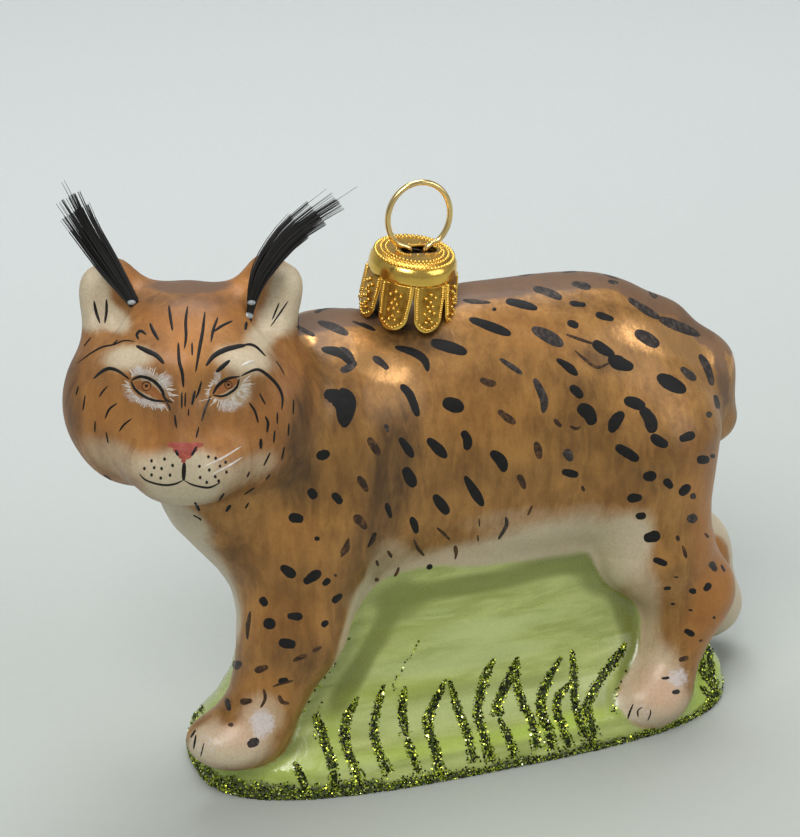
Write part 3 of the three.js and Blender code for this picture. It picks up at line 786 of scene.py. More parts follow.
BODY_PAINT = {
    "cream": [
        (410, 592, 60, 20, -10, 1), (470, 566, 80, 24, -9, 1), (560, 546, 70, 24, -6, 1),
        (598, 520, 34, 22, 0, 0.35), (618, 556, 26, 52, 35, 1), (642, 610, 22, 60, 0, 0.65),
        (650, 705, 44, 24, 0, 1), (660, 668, 26, 30, 0, 0.6), (630, 672, 14, 18, 0, 0.9),
        (354, 620, 8, 52, 20, 0.9), (333, 680, 8, 40, 28, 0.9), (225, 748, 46, 22, 0, 1),
        (262, 715, 26, 26, 20, 0.55),
        (200, 720, 22, 30, 0, 0.6), (200, 560, 20, 62, -34, 0.9), (226, 610, 12, 40, -8, 0.6),
        (180, 515, 40, 12, 30, 0.8), (520, 520, 70, 16, -4, 0.35), (392, 560, 28, 26, 0, 0.45),
    ],
    "white": [
        (262, 722, 13, 15, 0, 0.9), (255, 742, 12, 8, -20, 0.5), (678, 678, 13, 14, -30, 0.8),
        (205, 745, 22, 16, 0, 0.5), (640, 712, 22, 14, 0, 0.5), (262, 725, 15, 14, 0, 0.6),
    ],
    "warm": [
        (712, 530, 20, 60, 0, 0.9), (722, 600, 14, 60, 0, 1), (700, 470, 24, 40, 0, 0.5),
        (640, 560, 22, 20, 0, 0.2), (712, 590, 18, 45, 0, 0.9), (290, 540, 40, 30, 0, 0.3),
        (280, 620, 40, 40, 0, 0.35),
        (520, 330, 50, 24, 15, 0.3), (620, 500, 30, 30, 0, 0.3), (262, 690, 34, 22, 0, 0.4),
        (480, 420, 60, 40, 0, 0.2), (700, 620, 16, 40, 10, 0.7),
    ],
    "shade": [
        (312, 400, 16, 70, 6, 0.9), (300, 480, 24, 36, -10, 0.9), (392, 470, 30, 60, 8, 0.95),
        (372, 545, 22, 50, 20, 0.5), (420, 340, 40, 14, 10, 0.6), (400, 430, 22, 34, 0, 0.6),
        (610, 440, 80, 30, 10, 0.4), (560, 300, 70, 10, 8, 0.35), (600, 360, 22, 12, 20, 0.8),
        (412, 338, 44, 12, 0, 0.9), (470, 470, 50, 30, 20, 0.3), (240, 560, 12, 30, -20, 0.4),
        (640, 480, 40, 26, 0, 0.4), (345, 440, 22, 60, 0, 0.5), (690, 440, 30, 24, 0, 0.3),
        (232, 600, 6, 36, 0, 0.4), (300, 655, 30, 16, 0, 0.35), (735, 400, 8, 40, 0, 0.3),
        (580, 385, 26, 14, 25, 0.5), (545, 470, 60, 12, -6, 0.25), (330, 375, 12, 16, 0, 0.4),
        (290, 610, 24, 60, 10, 0.4), (300, 660, 20, 30, 20, 0.4), (345, 600, 10, 30, 20, 0.4),
        (612, 560, 16, 26, 20, 0.3),
    ],
    "ridge": [
        (520, 282, 90, 10, -3, 0.9), (640, 290, 60, 12, 24, 0.9), (700, 330, 30, 12, 50, 0.9),
        (722, 375, 9, 40, -6, 0.8), (330, 310, 60, 12, 6, 0.9), (655, 306, 40, 8, 26, 0.6),
    ],
    # Bright golden patches: painted highlight, where the silvering also shows through as metal
    "highlight_and_silver": [
        (380, 366, 34, 17, 20, 1), (362, 340, 20, 9, 20, 0.5), (655, 338, 50, 18, 16, 0.85),
        (700, 352, 20, 16, 40, 0.8), (724, 350, 10, 30, -10, 0.8), (305, 340, 14, 9, 0, 0.7),
        (460, 316, 40, 8, 12, 0.4), (540, 335, 50, 9, 14, 0.35), (440, 366, 30, 14, 10, 0.35),
        (692, 345, 34, 14, 30, 0.6), (727, 350, 8, 22, 0, 0.9), (692, 392, 26, 22, 20, 0.4),
        (620, 300, 40, 8, 16, 0.4), (520, 380, 60, 14, 10, 0.2),
    ],
    "pink": [
        (255, 700, 34, 30, 0, 0.5), (245, 725, 44, 26, 0, 0.8), (300, 690, 34, 30, 30, 0.6),
        (665, 690, 40, 26, 0, 0.9),
        (650, 620, 24, 60, 0, 0.4), (540, 505, 90, 16, -5, 0.5), (430, 545, 60, 20, -8, 0.4),
        (350, 650, 14, 40, 22, 0.6), (690, 640, 18, 40, 10, 0.4), (728, 560, 12, 30, 0, 0.6),
    ],
}
FUR_STRIP = (540, 551, 72, 8, -7, 1)
# On the foot, olive patches are painted shade under the belly and beside the legs; milky and lime patches are
# lighter green glass with painted highlight, the long lime strips a painted highlight band along the foot's
# wall
GRASS_PAINT = {
    "olive_shade": [
        (470, 585, 100, 12, -9, 0.9), (570, 562, 60, 12, -4, 0.9), (622, 600, 14, 60, -14, 0.9),
        (375, 640, 12, 60, 28, 0.8), (346, 690, 14, 40, 30, 0.8), (628, 670, 12, 50, 8, 0.9),
        (600, 580, 30, 20, 20, 0.7), (300, 745, 40, 10, -20, 0.6), (605, 700, 16, 24, 0, 0.5),
        (400, 600, 30, 26, -20, 0.7), (395, 640, 24, 14, 0, 0.35), (560, 625, 50, 6, -6, 0.35),
        (450, 690, 70, 12, -6, 0.5), (540, 680, 40, 10, -10, 0.5), (360, 730, 40, 14, -4, 0.4),
    ],
    "milky_and_highlight": [
        (480, 630, 70, 16, -10, 0.8), (560, 610, 34, 14, -10, 0.5), (460, 660, 110, 16, -8, 0.8),
        (400, 720, 80, 22, -6, 0.7), (500, 700, 80, 24, -6, 0.8), (580, 690, 34, 26, 0, 0.6),
        (345, 765, 60, 10, -4, 0.9), (450, 760, 60, 10, -8, 0.5), (430, 615, 40, 8, -8, 0.5),
    ],
    "lime_and_highlight": [
        (700, 680, 34, 34, 0, 1), (690, 660, 16, 30, 0, 0.6), (290, 770, 60, 12, -8, 0.6),
        (450, 745, 120, 9, -9, 0.6), (560, 724, 60, 10, -12, 1), (215, 765, 30, 16, 20, 0.6),
        (330, 740, 20, 24, 30, 0.5),
        (215, 775, 30, 14, 30, 0.6), (400, 690, 60, 8, -8, 0.25), (210, 690, 14, 20, 0, 0.5),
    ],
}


def airbrushed(patches, pixels):
    """How much paint soft elliptical patches leave at each pixel, from 0 to 1."""
    bare = np.ones(len(pixels))
    for x, y, wide, high, turn, strength in patches:
        turn = math.radians(turn)
        d = pixels - [x, y]
        along = (d[:, 0] * math.cos(turn) + d[:, 1] * math.sin(turn)) / wide
        over = (d[:, 1] * math.cos(turn) - d[:, 0] * math.sin(turn)) / high
        bare *= 1 - strength * smooth(1.45, 0.35, np.hypot(along, over))
    return 1 - bare


def distance_to(forms, places):
    return np.min([form(places) for form in forms], axis=0)


HEAD_SOFTNESS = 1.6
past_body = distance_to(body_forms, points) - distance_to(head_forms + ear_forms, points)
of_head = smooth(-HEAD_SOFTNESS, HEAD_SOFTNESS, past_body)
faces_camera = smooth(-0.35, 0.15, normals @ BACK)
faces_near = smooth(0.3, -0.3, normals[:, 1])
near_pixels, far_pixels = pixel_of(points, NEAR), pixel_of(points, FAR)


def both_sides(patches):
    """Paint of patches on the near side, and of the same ones mirrored onto the far side."""
    near, far = airbrushed(patches, near_pixels), airbrushed(patches, far_pixels)
    return faces_near * near + (1 - faces_near) * far


paint = {}
for coat, patches in BODY_PAINT.items():
    on_head = faces_camera * airbrushed(HEAD_PAINT[coat], near_pixels)
    paint[coat] = of_head * on_head + (1 - of_head) * both_sides(patches)
# The hind leg on the far side is left pale all over
pale_leg = smooth(0, 2, points[:, 1]) * smooth(27, 30, points[:, 0]) * smooth(37, 32, points[:, 2])
for coat in ("warm", "shade", "pink", "highlight_and_silver"):
    paint[coat] *= 1 - pale_leg
paint["cream"] = np.maximum(paint["cream"], pale_leg)
for coat, patches in GRASS_PAINT.items():
    paint[coat] = both_sides(patches)
# The dark line of fur runs along the back and down behind the head
BACK_FROM, NAPE_AT = 50, -37
back_line = smooth(5.0, 2.0, np.abs(points[:, 1])) * smooth(0.2, 0.6, normals[:, 2])
back_line *= (points[:, 2] > BACK_FROM) * (1 - of_head)
nape = of_head * (1 - faces_camera) * smooth(9, 3, np.abs(points[:, 0] - NAPE_AT))
paint["ridge"] = np.maximum(paint["ridge"], np.maximum(back_line, nape * 0.8))
RIM_LOW, RIM_MORE, RIM_NOISE = 1.3, 1.2, 0.45


def rim_height(places):
    """Height up to which glitter glue covers the foot's edge, deepest at the front left."""
    x, y = places[:, 0], places[:, 1]
    wave = np.sin(x * 0.55 + y * 0.4) + np.sin(x * 1.37 - y * 0.9)
    return RIM_LOW + RIM_MORE * smooth(0, -38, x) + RIM_NOISE / 2 * wave


paint["glue"] = smooth(0.5, -0.3, points[:, 2] - rim_height(points)) * green
fur_strip = airbrushed([FUR_STRIP], near_pixels) * faces_near
paint["green"] = green * (1 - fur_strip)
paint["cream"] = np.maximum(paint["cream"], fur_strip * green * 0.8)
paint["face"] = of_head
for piece, used in ((body, body_points), (grass, grass_points)):
    for coat, amount in paint.items():
        give(piece, coat, amount[used])


def painted_glass(name):
    """Lacquered blown glass: amber brushed over silvering, cream, painted shade and highlight, green foot."""
    sheet = Sheet(name)
    coats = {coat: sheet.attribute(coat) for coat in paint}
    streak = sheet.noise(1.3, 4, 0.6, (1, 1, 0.28), 0.4)
    cloud = sheet.noise(7, 3, 0.55)
    grain = sheet.noise(0.35, 2, 0.6)
    ripple = sheet.noise(2.6, 3, 0.5, (1, 1, 0.55), 1.2)
    wear_and_glints = sheet.ramp(sheet.noise(0.9, 5, 0.7, (1, 1, 0.6), 0.8), 0.42, 0.7)
    lift = sheet.ramp(streak * 0.5 + cloud * 0.5, 0.3, 0.7)
    amber = sheet.mix(lift, rgb("7C5424"), rgb("AE7E40"))
    amber = sheet.mix(coats["face"] * 0.75, amber, sheet.mix(lift, rgb("85552A"), rgb("AA743A")))
    hue = sheet.mix(coats["warm"] * 0.8, amber, sheet.mix(cloud, rgb("95591F"), rgb("BC7E3A")))
    hue = sheet.mix(coats["shade"] * sheet.ramp(streak, 0.2, 0.75, 0.95, 0.6), hue, rgb("402A10"))
    # Painted highlight: bright gold, more metallic and glossier, broken up by scratches and ripples
    highlight_and_silver = sheet.ramp(coats["highlight_and_silver"] * 0.75 + wear_and_glints * 0.35 * coats["highlight_and_silver"] + ripple * 0.4, 0.35, 1)
    hue = sheet.mix(highlight_and_silver * 0.85, hue, rgb("E6AE70"))
    cream = sheet.mix(cloud, rgb("B4A68A"), rgb("D0C2A6"))
    creamed = sheet.ramp(coats["cream"] + (streak - 0.5) * 0.3, 0.12, 0.85)
    hue = sheet.mix(creamed * 0.97, hue, cream)
    hue = sheet.mix(coats["pink"] * creamed * 0.8, hue, rgb("C9A283"))
    whitened = sheet.ramp(coats["white"] + (sheet.noise(0.6, 4, 0.75) - 0.5) * 1.3, 0.35, 0.95)
    hue = sheet.mix(whitened * 0.8, hue, rgb("D3CCCC"))
    ridged = sheet.ramp(coats["ridge"] + (sheet.noise(1.1, 4, 0.65, (0.35, 1, 1)) - 0.5) * 0.8, 0.3, 0.75)
    hue = sheet.mix(ridged * 0.85, hue, sheet.mix(grain, rgb("4A3428"), rgb("70543F")))
    hue = sheet.mix(sheet.ramp(grain, 0.35, 0.75, 0.0, 0.16), hue, rgb("4A3018"))

    sweep = sheet.noise(2.2, 4, 0.6, (0.22, 1, 1), 0.5)
    leaf = sheet.mix(sheet.ramp(sweep, 0.3, 0.7), rgb("8E9A4A"), rgb("AEB86C"))
    # Milky and lime patches lighten the green partly as painted highlight, olive ones darken it as painted
    # shade
    leaf = sheet.mix(sheet.ramp(coats["milky_and_highlight"] + (sweep - 0.5) * 0.6, 0.25, 0.9) * 0.65, leaf, rgb("B0BC7C"))
    leaf = sheet.mix(sheet.ramp(coats["olive_shade"] + (sweep - 0.5) * 0.5, 0.2, 0.9) * 0.85, leaf, rgb("68701F"))
    leaf = sheet.mix(coats["lime_and_highlight"] * 0.8, leaf, rgb("A4BC3C"))
    leaf = sheet.mix(coats["glue"] * 0.92, leaf, sheet.mix(grain, rgb("0F1606"), rgb("38461A")))
    hue = sheet.mix(coats["green"], hue, leaf)

    metal = (highlight_and_silver * 0.6 + 0.3) * (1 - creamed) * (1 - ridged)
    metal = metal * (1 - coats["green"]) * (1 - coats["face"] * 0.4)
    rough = sheet.ramp(highlight_and_silver, 0, 1, 0.44, 0.3) + coats["face"] * 0.12 + (grain - 0.5) * 0.12
    rough = rough - coats["green"] * 0.16 + ridged * 0.15
    return sheet.finish(
        Base_Color=hue,
        Metallic=metal,
        Roughness=rough,
        Normal=sheet.bump(ripple * 0.7 + streak * 0.3, 0.16, 0.8),
        Coat_Weight=coats["green"] * 0.5 + 0.12,
        Coat_Roughness=0.18,
        Specular_IOR_Level=0.5,
    )


body.data.materials[0] = painted_glass("amber glass")
grass.data.materials[0] = painted_glass("green glass")


# Hand-painted marks. Each is a width and the points of its middle line, in the pixels
# of a view that is enlarged from a corner of the photograph.
FLANK_VIEW, FORELEG_VIEW, HINDLEG_VIEW = (340, 250, 3.92), (180, 500, 4.75), (480, 500, 5.6)
FACE_VIEW, PHOTO_VIEW = (50, 280, 5.807), (0, 0, 1)
BODY_MARKS = [
    ("black", FLANK_VIEW, [
        (48, (360, 362), (428, 380), (494, 402)), (30, (215, 380), (285, 400), (330, 430), (345, 475)),
        (36, (240, 530), (275, 570), (305, 650)), (56, (408, 596), (443, 607), (480, 622)),
        (34, (235, 738), (262, 775), (285, 812)), (42, (345, 742), (380, 775), (416, 812)),
        (38, (482, 712), (500, 745), (497, 782)), (46, (256, 856), (272, 890), (290, 926)),
        (42, (370, 962), (395, 995), (422, 1032)), (36, (490, 888), (525, 945), (560, 1002)),
        (30, (280, 1048), (292, 1078), (300, 1110)), (40, (594, 792), (630, 825), (645, 867)),
        (38, (652, 200), (710, 212), (772, 230)), (40, (508, 270), (580, 296), (668, 330)),
        (32, (850, 428), (890, 455), (930, 490)), (36, (905, 535), (928, 555), (948, 577)),
        (56, (938, 615), (975, 640), (990, 680)), (44, (1108, 638), (1080, 672), (1062, 712)),
        (50, (1118, 588), (1155, 600), (1192, 616)), (54, (1184, 622), (1215, 665), (1225, 712)),
        (40, (1222, 728), (1250, 750), (1282, 766)), (42, (1084, 770), (1130, 798), (1168, 822)),
        (46, (995, 362), (1030, 388), (1072, 412)), (54, (1056, 424), (1100, 446), (1146, 460)),
        (32, (893, 283), (912, 290), (932, 300)), (24, (900, 206), (930, 212), (962, 216)),
        (30, (1004, 250), (1037, 262), (1072, 272)), (54, (1248, 495), (1300, 525), (1352, 552)),
        (38, (1334, 742), (1360, 733), (1388, 722)), (36, (1402, 822), (1425, 822), (1446, 822)),
        (38, (1190, 888), (1213, 887), (1238, 884)), (32, (1274, 900), (1288, 917), (1300, 932)),
        (34, (1334, 958), (1352, 940), (1371, 924)), (36, (1128, 974), (1155, 972), (1182, 970)),
        (28, (1162, 1045), (1180, 1043), (1198, 1040)), (42, (1194, 1132), (1223, 1125), (1252, 1118)),
        (32, (872, 868), (900, 875), (932, 882)), (12, (80, 285), (112, 300), (140, 316)),
        (14, (598, 232), (612, 233)), (66, (5, 548), (35, 600), (16, 690)),
        (22, (182, 992), (190, 1020), (200, 1050)), (16, (112, 1162), (127, 1132), (142, 1108)),
    ]),
    ("grey", FLANK_VIEW, [
        (36, (760, 150), (815, 166), (868, 190)), (48, (755, 308), (815, 338), (872, 372)),
        (22, (626, 426), (670, 455), (714, 486)), (34, (762, 505), (785, 550), (800, 592), (797, 638)),
        (28, (910, 130), (945, 138), (982, 148)), (46, (1160, 322), (1203, 346), (1246, 374)),
        (30, (1130, 190), (1190, 230), (1252, 268)), (38, (1252, 268), (1330, 300), (1410, 334)),
        (34, (1338, 462), (1365, 485), (1394, 508)), (28, (1410, 410), (1440, 460), (1460, 530)),
        (24, (1470, 570), (1482, 622)), (24, (1438, 650), (1456, 640)), (18, (1452, 808), (1470, 808)),
        (24, (1374, 966), (1394, 964)), (36, (1362, 1056), (1380, 1053), (1398, 1046)),
        (34, (882, 786), (895, 803), (905, 826)), (28, (130, 420), (160, 440), (188, 466)),
        (18, (480, 196), (535, 203), (592, 206)), (16, (650, 1046), (652, 1080), (620, 1136)),
        (20, (1212, 164), (1242, 186)), (16, (1050, 122), (1092, 130)), (16, (178, 682), (190, 714)),
        (26, (0, 384), (28, 404), (56, 442)),
    ]),
    ("brown", FLANK_VIEW, [
        (26, (550, 506), (580, 520), (612, 526)), (30, (622, 630), (652, 655), (686, 680)),
        (28, (768, 752), (777, 785), (783, 818)), (10, (885, 330), (940, 350), (1000, 370)),
        (10, (918, 392), (962, 430), (1010, 460), (1060, 440)), (18, (840, 662), (852, 678), (868, 692)),
        (14, (900, 690), (925, 700), (944, 692)), (26, (700, 882), (712, 905), (724, 936)),
        (10, (948, 925), (958, 946)), (34, (112, 738), (130, 765), (152, 802)),
        (28, (72, 888), (90, 916), (108, 946)), (34, (56, 1044), (78, 1062), (102, 1092)),
        (18, (4, 1192), (20, 1165), (36, 1130)), (8, (735, 1042), (755, 1000)),
        (13, (380, 1090), (405, 1110), (432, 1138)), (10, (290, 1135), (305, 1170), (330, 1200)),
        (8, (448, 1160), (456, 1206)), (10, (185, 1180), (205, 1202)), (6, (545, 1050), (547, 1086)),
        (6, (540, 1115), (542, 1146)), (10, (1320, 1122), (1326, 1140)), (12, (1345, 1162), (1356, 1204)),
        (7, (1455, 905), (1461, 952)),
    ]),
    ("black", PHOTO_VIEW, [
        (10, (322, 349), (340, 353), (353, 364)), (17, (326, 393), (342, 402), (343, 424)),
        (10, (317, 456), (323, 455), (329, 453)), (9, (309, 490), (312, 493), (315, 498)),
        (10, (290, 518), (297, 518), (302, 519)), (4, (316, 538), (319, 539)),
        (9, (333, 494), (337, 498), (341, 503)), (3, (352, 321), (364, 326), (375, 331)),
    ]),
    ("grey", PHOTO_VIEW, [
        (5, (296, 326), (305, 331), (315, 336)), (8, (318, 322), (333, 327), (348, 334)),
        (8, (341, 371), (350, 367), (356, 362)),
    ]),
    ("black", FORELEG_VIEW, [
        (50, (520, 80), (550, 86), (582, 92)), (24, (640, 182), (662, 185)),
        (46, (482, 316), (512, 338), (544, 362)), (46, (592, 392), (628, 366), (666, 342)),
        (32, (680, 402), (695, 390), (710, 376)), (36, (386, 464), (397, 482), (408, 502)),
        (34, (726, 484), (746, 467), (768, 450)), (38, (512, 550), (545, 553), (580, 554)),
        (50, (400, 584), (425, 588), (450, 594)), (30, (674, 596), (688, 588), (702, 576)),
        (54, (474, 676), (508, 681), (544, 688)), (30, (468, 862), (490, 858), (512, 854)),
        (10, (68, 8), (82, 30), (96, 52)), (5, (62, 70), (84, 84), (103, 101)),
        (10, (242, 24), (220, 56)), (6, (326, 10), (315, 40)), (8, (190, 0), (182, 8)),
        (8, (75, 1090), (50, 1130)), (8, (76, 1114), (64, 1186)), (7, (115, 1150), (97, 1222)),
        (13, (988, 240), (996, 258), (1006, 276)), (22, (1172, 324), (1198, 312)),
    ]),
    ("brown", FORELEG_VIEW, [
        (11, (732, 358), (746, 358)), (20, (334, 528), (322, 600), (320, 664)),
        (34, (356, 812), (385, 803), (416, 792)), (22, (536, 764), (572, 748), (602, 738)),
        (20, (630, 720), (650, 709), (672, 696)), (10, (440, 888), (480, 872), (540, 858)),
        (32, (286, 958), (313, 957), (342, 952)), (17, (398, 898), (404, 944), (382, 988)),
        (20, (470, 928), (486, 960), (520, 966)), (20, (230, 1068), (252, 1068)),
        (14, (796, 180), (800, 230), (762, 272)), (18, (912, 158), (922, 186), (890, 226)),
        (10, (1110, 190), (1130, 226), (1162, 266)), (14, (1220, 130), (1250, 158), (1282, 192)),
        (11, (1308, 214), (1314, 246), (1306, 284)), (10, (932, 285), (942, 316)),
        (15, (1040, 318), (1032, 342), (1018, 364)), (18, (926, 380), (944, 378)),
    ]),
    ("grey", FORELEG_VIEW, [
        (44, (254, 774), (270, 782), (286, 792)), (26, (222, 942), (228, 972), (236, 1000)),
        (42, (322, 1160), (340, 1158), (372, 1140)),
    ]),
    ("black", HINDLEG_VIEW, [
        (42, (874, 90), (900, 88), (926, 84)), (58, (922, 214), (962, 207), (1002, 198)),
        (42, (972, 332), (1010, 346), (1046, 360)), (22, (1028, 498), (1048, 494), (1070, 494)),
        (32, (1172, 506), (1190, 510), (1210, 516)), (40, (1256, 504), (1272, 490), (1288, 468)),
        (10, (1068, 582), (1092, 584)), (10, (1168, 614), (1190, 620)), (12, (1304, 658), (1318, 660)),
        (34, (1146, 730), (1172, 742), (1200, 758)), (16, (1016, 998), (1040, 998), (1062, 994)),
        (9, (860, 1138), (842, 1180), (826, 1228)), (7, (912, 1158), (884, 1180), (886, 1218)),
        (7, (956, 1170), (954, 1200), (938, 1238)),
    ]),
    ("grey", HINDLEG_VIEW, [
        (50, (1176, 118), (1187, 105), (1200, 90)), (42, (1290, 350), (1305, 370), (1320, 396)),
        (18, (1350, 362), (1372, 402)), (28, (1076, 1078), (1097, 1076), (1118, 1070)),
    ]),
    ("brown", HINDLEG_VIEW, [
        (22, (1104, 198), (1108, 213), (1112, 230)), (20, (1134, 254), (1146, 290), (1156, 328)),
        (10, (1084, 430), (1112, 434)), (11, (1226, 790), (1248, 786)),
        (26, (1114, 898), (1140, 890), (1168, 880)), (12, (1258, 184), (1282, 212)),
    ]),
]
FACE_MARKS = [
    ("black", FACE_VIEW, [
        (16, (250, 575), (300, 532), (345, 514), (400, 530), (465, 580)),
        (15, (470, 585), (505, 566), (540, 562), (600, 585), (650, 640), (668, 690), (715, 715)),
        (13, (470, 585), (492, 632), (540, 672), (600, 698), (680, 706)),
        (14, (1105, 560), (1160, 532), (1210, 520), (1260, 550), (1320, 610), (1350, 680), (1345, 760)),
        (15, (1105, 560), (1040, 570), (1000, 592), (970, 620), (945, 665)),
        (12, (1100, 572), (1085, 620), (1050, 652), (1000, 675), (945, 668)),
        (34, (500, 382), (560, 410), (620, 440), (662, 486)),
        (36, (905, 500), (950, 442), (1010, 408), (1080, 388), (1140, 378)),
        (12, (1120, 378), (1160, 374), (1200, 390), (1255, 445)), (30, (965, 535), (1005, 500), (1045, 466)),
        (9, (150, 490), (230, 430), (300, 390), (370, 375), (430, 352), (500, 357)),
        (8, (360, 380), (395, 345)), (14, (515, 345), (505, 316), (528, 295), (560, 318)),
        (15, (580, 250), (600, 295), (632, 352)), (13, (690, 145), (700, 220), (712, 296)),
        (13, (800, 150), (788, 240), (790, 330), (780, 400)),
        (15, (900, 180), (886, 300), (868, 400), (845, 540)), (10, (825, 360), (826, 440)),
        (16, (745, 360), (750, 470), (768, 540), (775, 625)), (13, (975, 215), (948, 290), (935, 360)),
        (13, (950, 300), (1000, 265), (1062, 236)), (14, (1142, 240), (1134, 292)),
        (9, (765, 650), (765, 750)), (9, (787, 650), (784, 740)), (13, (842, 640), (824, 728)),
        (10, (880, 585), (866, 640), (846, 690)), (7, (806, 745), (803, 792)),
        (10, (725, 780), (728, 820), (736, 862)), (9, (865, 850), (848, 918)),
        (13, (255, 120), (268, 185), (290, 252)), (12, (328, 110), (328, 180), (318, 252)),
        (8, (1385, 120), (1330, 200), (1280, 272)), (9, (1332, 130), (1290, 232)),
        (9, (335, 615), (304, 650), (285, 682)), (10, (390, 715), (345, 750), (318, 808)),
        (10, (475, 805), (430, 840), (400, 882)), (8, (165, 615), (150, 672)), (8, (205, 665), (190, 762)),
        (8, (262, 815), (260, 888)), (8, (325, 880), (338, 952)), (7, (240, 330), (195, 386)),
        (9, (310, 1130), (340, 1150), (372, 1177)), (9, (1215, 655), (1252, 726)),
        (11, (1155, 710), (1190, 762), (1210, 832)), (12, (1250, 790), (1266, 830), (1260, 888)),
        (8, (1320, 765), (1320, 838)), (9, (1306, 870), (1299, 948)), (14, (1225, 920), (1225, 982)),
        (9, (1415, 690), (1412, 782)), (9, (1388, 830), (1383, 908)), (9, (1362, 965), (1345, 1048)),
        (9, (1280, 1000), (1240, 1082)), (9, (1160, 1110), (1143, 1148)), (9, (1280, 1125), (1253, 1162)),
        (9, (1190, 1205), (1125, 1248)), (6, (1310, 465), (1340, 510), (1362, 552)),
        (20, (780, 1060), (777, 1110), (776, 1165)),
        (10, (515, 1122), (560, 1164), (650, 1190), (720, 1186), (776, 1162)),
        (10, (776, 1162), (830, 1190), (900, 1205), (940, 1201), (992, 1174)),
        (14, (840, 1290), (852, 1312), (867, 1342)), (12, (1012, 1238), (978, 1288)),
        (11, (1047, 1305), (1020, 1345)), (9, (1155, 1293), (1133, 1328)), (7, (830, 1365), (882, 1392)),
        (26, (553, 614), (567, 616)), (24, (1029, 608), (1043, 607)),
        (14, (730, 985), (745, 1022)), (14, (852, 965), (820, 1022)),
    ]),
    ("black", FACE_VIEW, [
        (15, (x - 6, y), (x + 6, y))
        for x, y in (
            (590, 1050), (665, 1040), (548, 1095), (605, 1090), (648, 1095), (712, 1077), (590, 1132),
            (643, 1150), (697, 1133), (920, 1027), (962, 1035), (868, 1082), (925, 1103), (987, 1080),
            (1020, 1058), (872, 1147), (960, 1142), (1025, 1115), (910, 1175), (980, 1167),
        )
    ]),
    ("grey", FACE_VIEW, [
        (10, (670, 700), (690, 730), (700, 762)), (11, (935, 670), (905, 740), (880, 822)),
    ]),
    ("white", FACE_VIEW, [
        (9, (885, 1088), (1000, 1034), (1112, 966)), (9, (930, 1136), (1040, 1078), (1118, 1028)),
        (12, (1110, 500), (1150, 480), (1190, 470)),
    ]),
]
# Rows of short white hairs that fan out round the eyes: the eye's middle, the row's
# line, how many hairs and how long they are
EYE_HAIRS = [
    ((565, 640), [(478, 566), (545, 545), (612, 572), (662, 622), (690, 680)], 44, 46),
    ((565, 640), [(462, 600), (482, 645), (530, 690), (590, 714), (660, 718)], 44, 40),
    ((1035, 615), [(960, 682), (1010, 692), (1060, 668), (1100, 625), (1120, 585)], 40, 62),
    ((1035, 615), [(985, 580), (950, 605), (930, 640), (925, 670)], 20, 30),
]
IRISES = [((560, 616), 26, 10), ((1036, 609), 22, 9)]
EYE_GROUND = [
    (78, (488, 598), (560, 628), (640, 676)), (54, (560, 640), (612, 664), (664, 696)),
    (66, (1090, 576), (1035, 610), (958, 656)), (44, (958, 656), (1000, 640), (1050, 622)),
]
NOSE = [
    (52, (680, 956), (780, 964), (890, 956)), (58, (716, 985), (782, 994), (856, 982)),
    (52, (748, 1020), (784, 1026), (822, 1018)), (40, (768, 1042), (784, 1056)),
]

skin_tree = BVHTree.FromPolygons(points.tolist(), quads.tolist())
PAINT_HEIGHT, PAINT_SINK, END_REACH = 0.055, 0.018, 0.25
LINE_POINTS, STEP_PIXELS, FEWEST_STEPS, MOST_STEPS, WIDE_HALF = 24, 1.6, 4, 22, 1.4
# How much wider than drawn spots, lines and the face's lines are laid on
SPOT_BOLD, LINE_BOLD, FACE_BOLD = 1.3, 1.7, 1.5
SPOT_PIXELS, THIN, MARK_LIFT = 2.6, 22, 0.06


def on_skin(x, y, side, on_grass=None):
    """Where a photo pixel's ray meets the skin, and the outward direction there."""
    start, way = pixel_ray(x, y, side)
    place, normal, face, _ = skin_tree.ray_cast(start, way)
    if place is None or (on_grass is not None and on_grass != in_grass[face]):
        return None, None
    return place, normal


def step_of(line, place):
    """The step of a line of points that a place lies in: its number, reach and direction."""
    first = min(int(place), len(line) - 2)
    reach = line[first + 1] - line[first]
    return first, reach, reach / max(np.linalg.norm(reach), 1e-6)


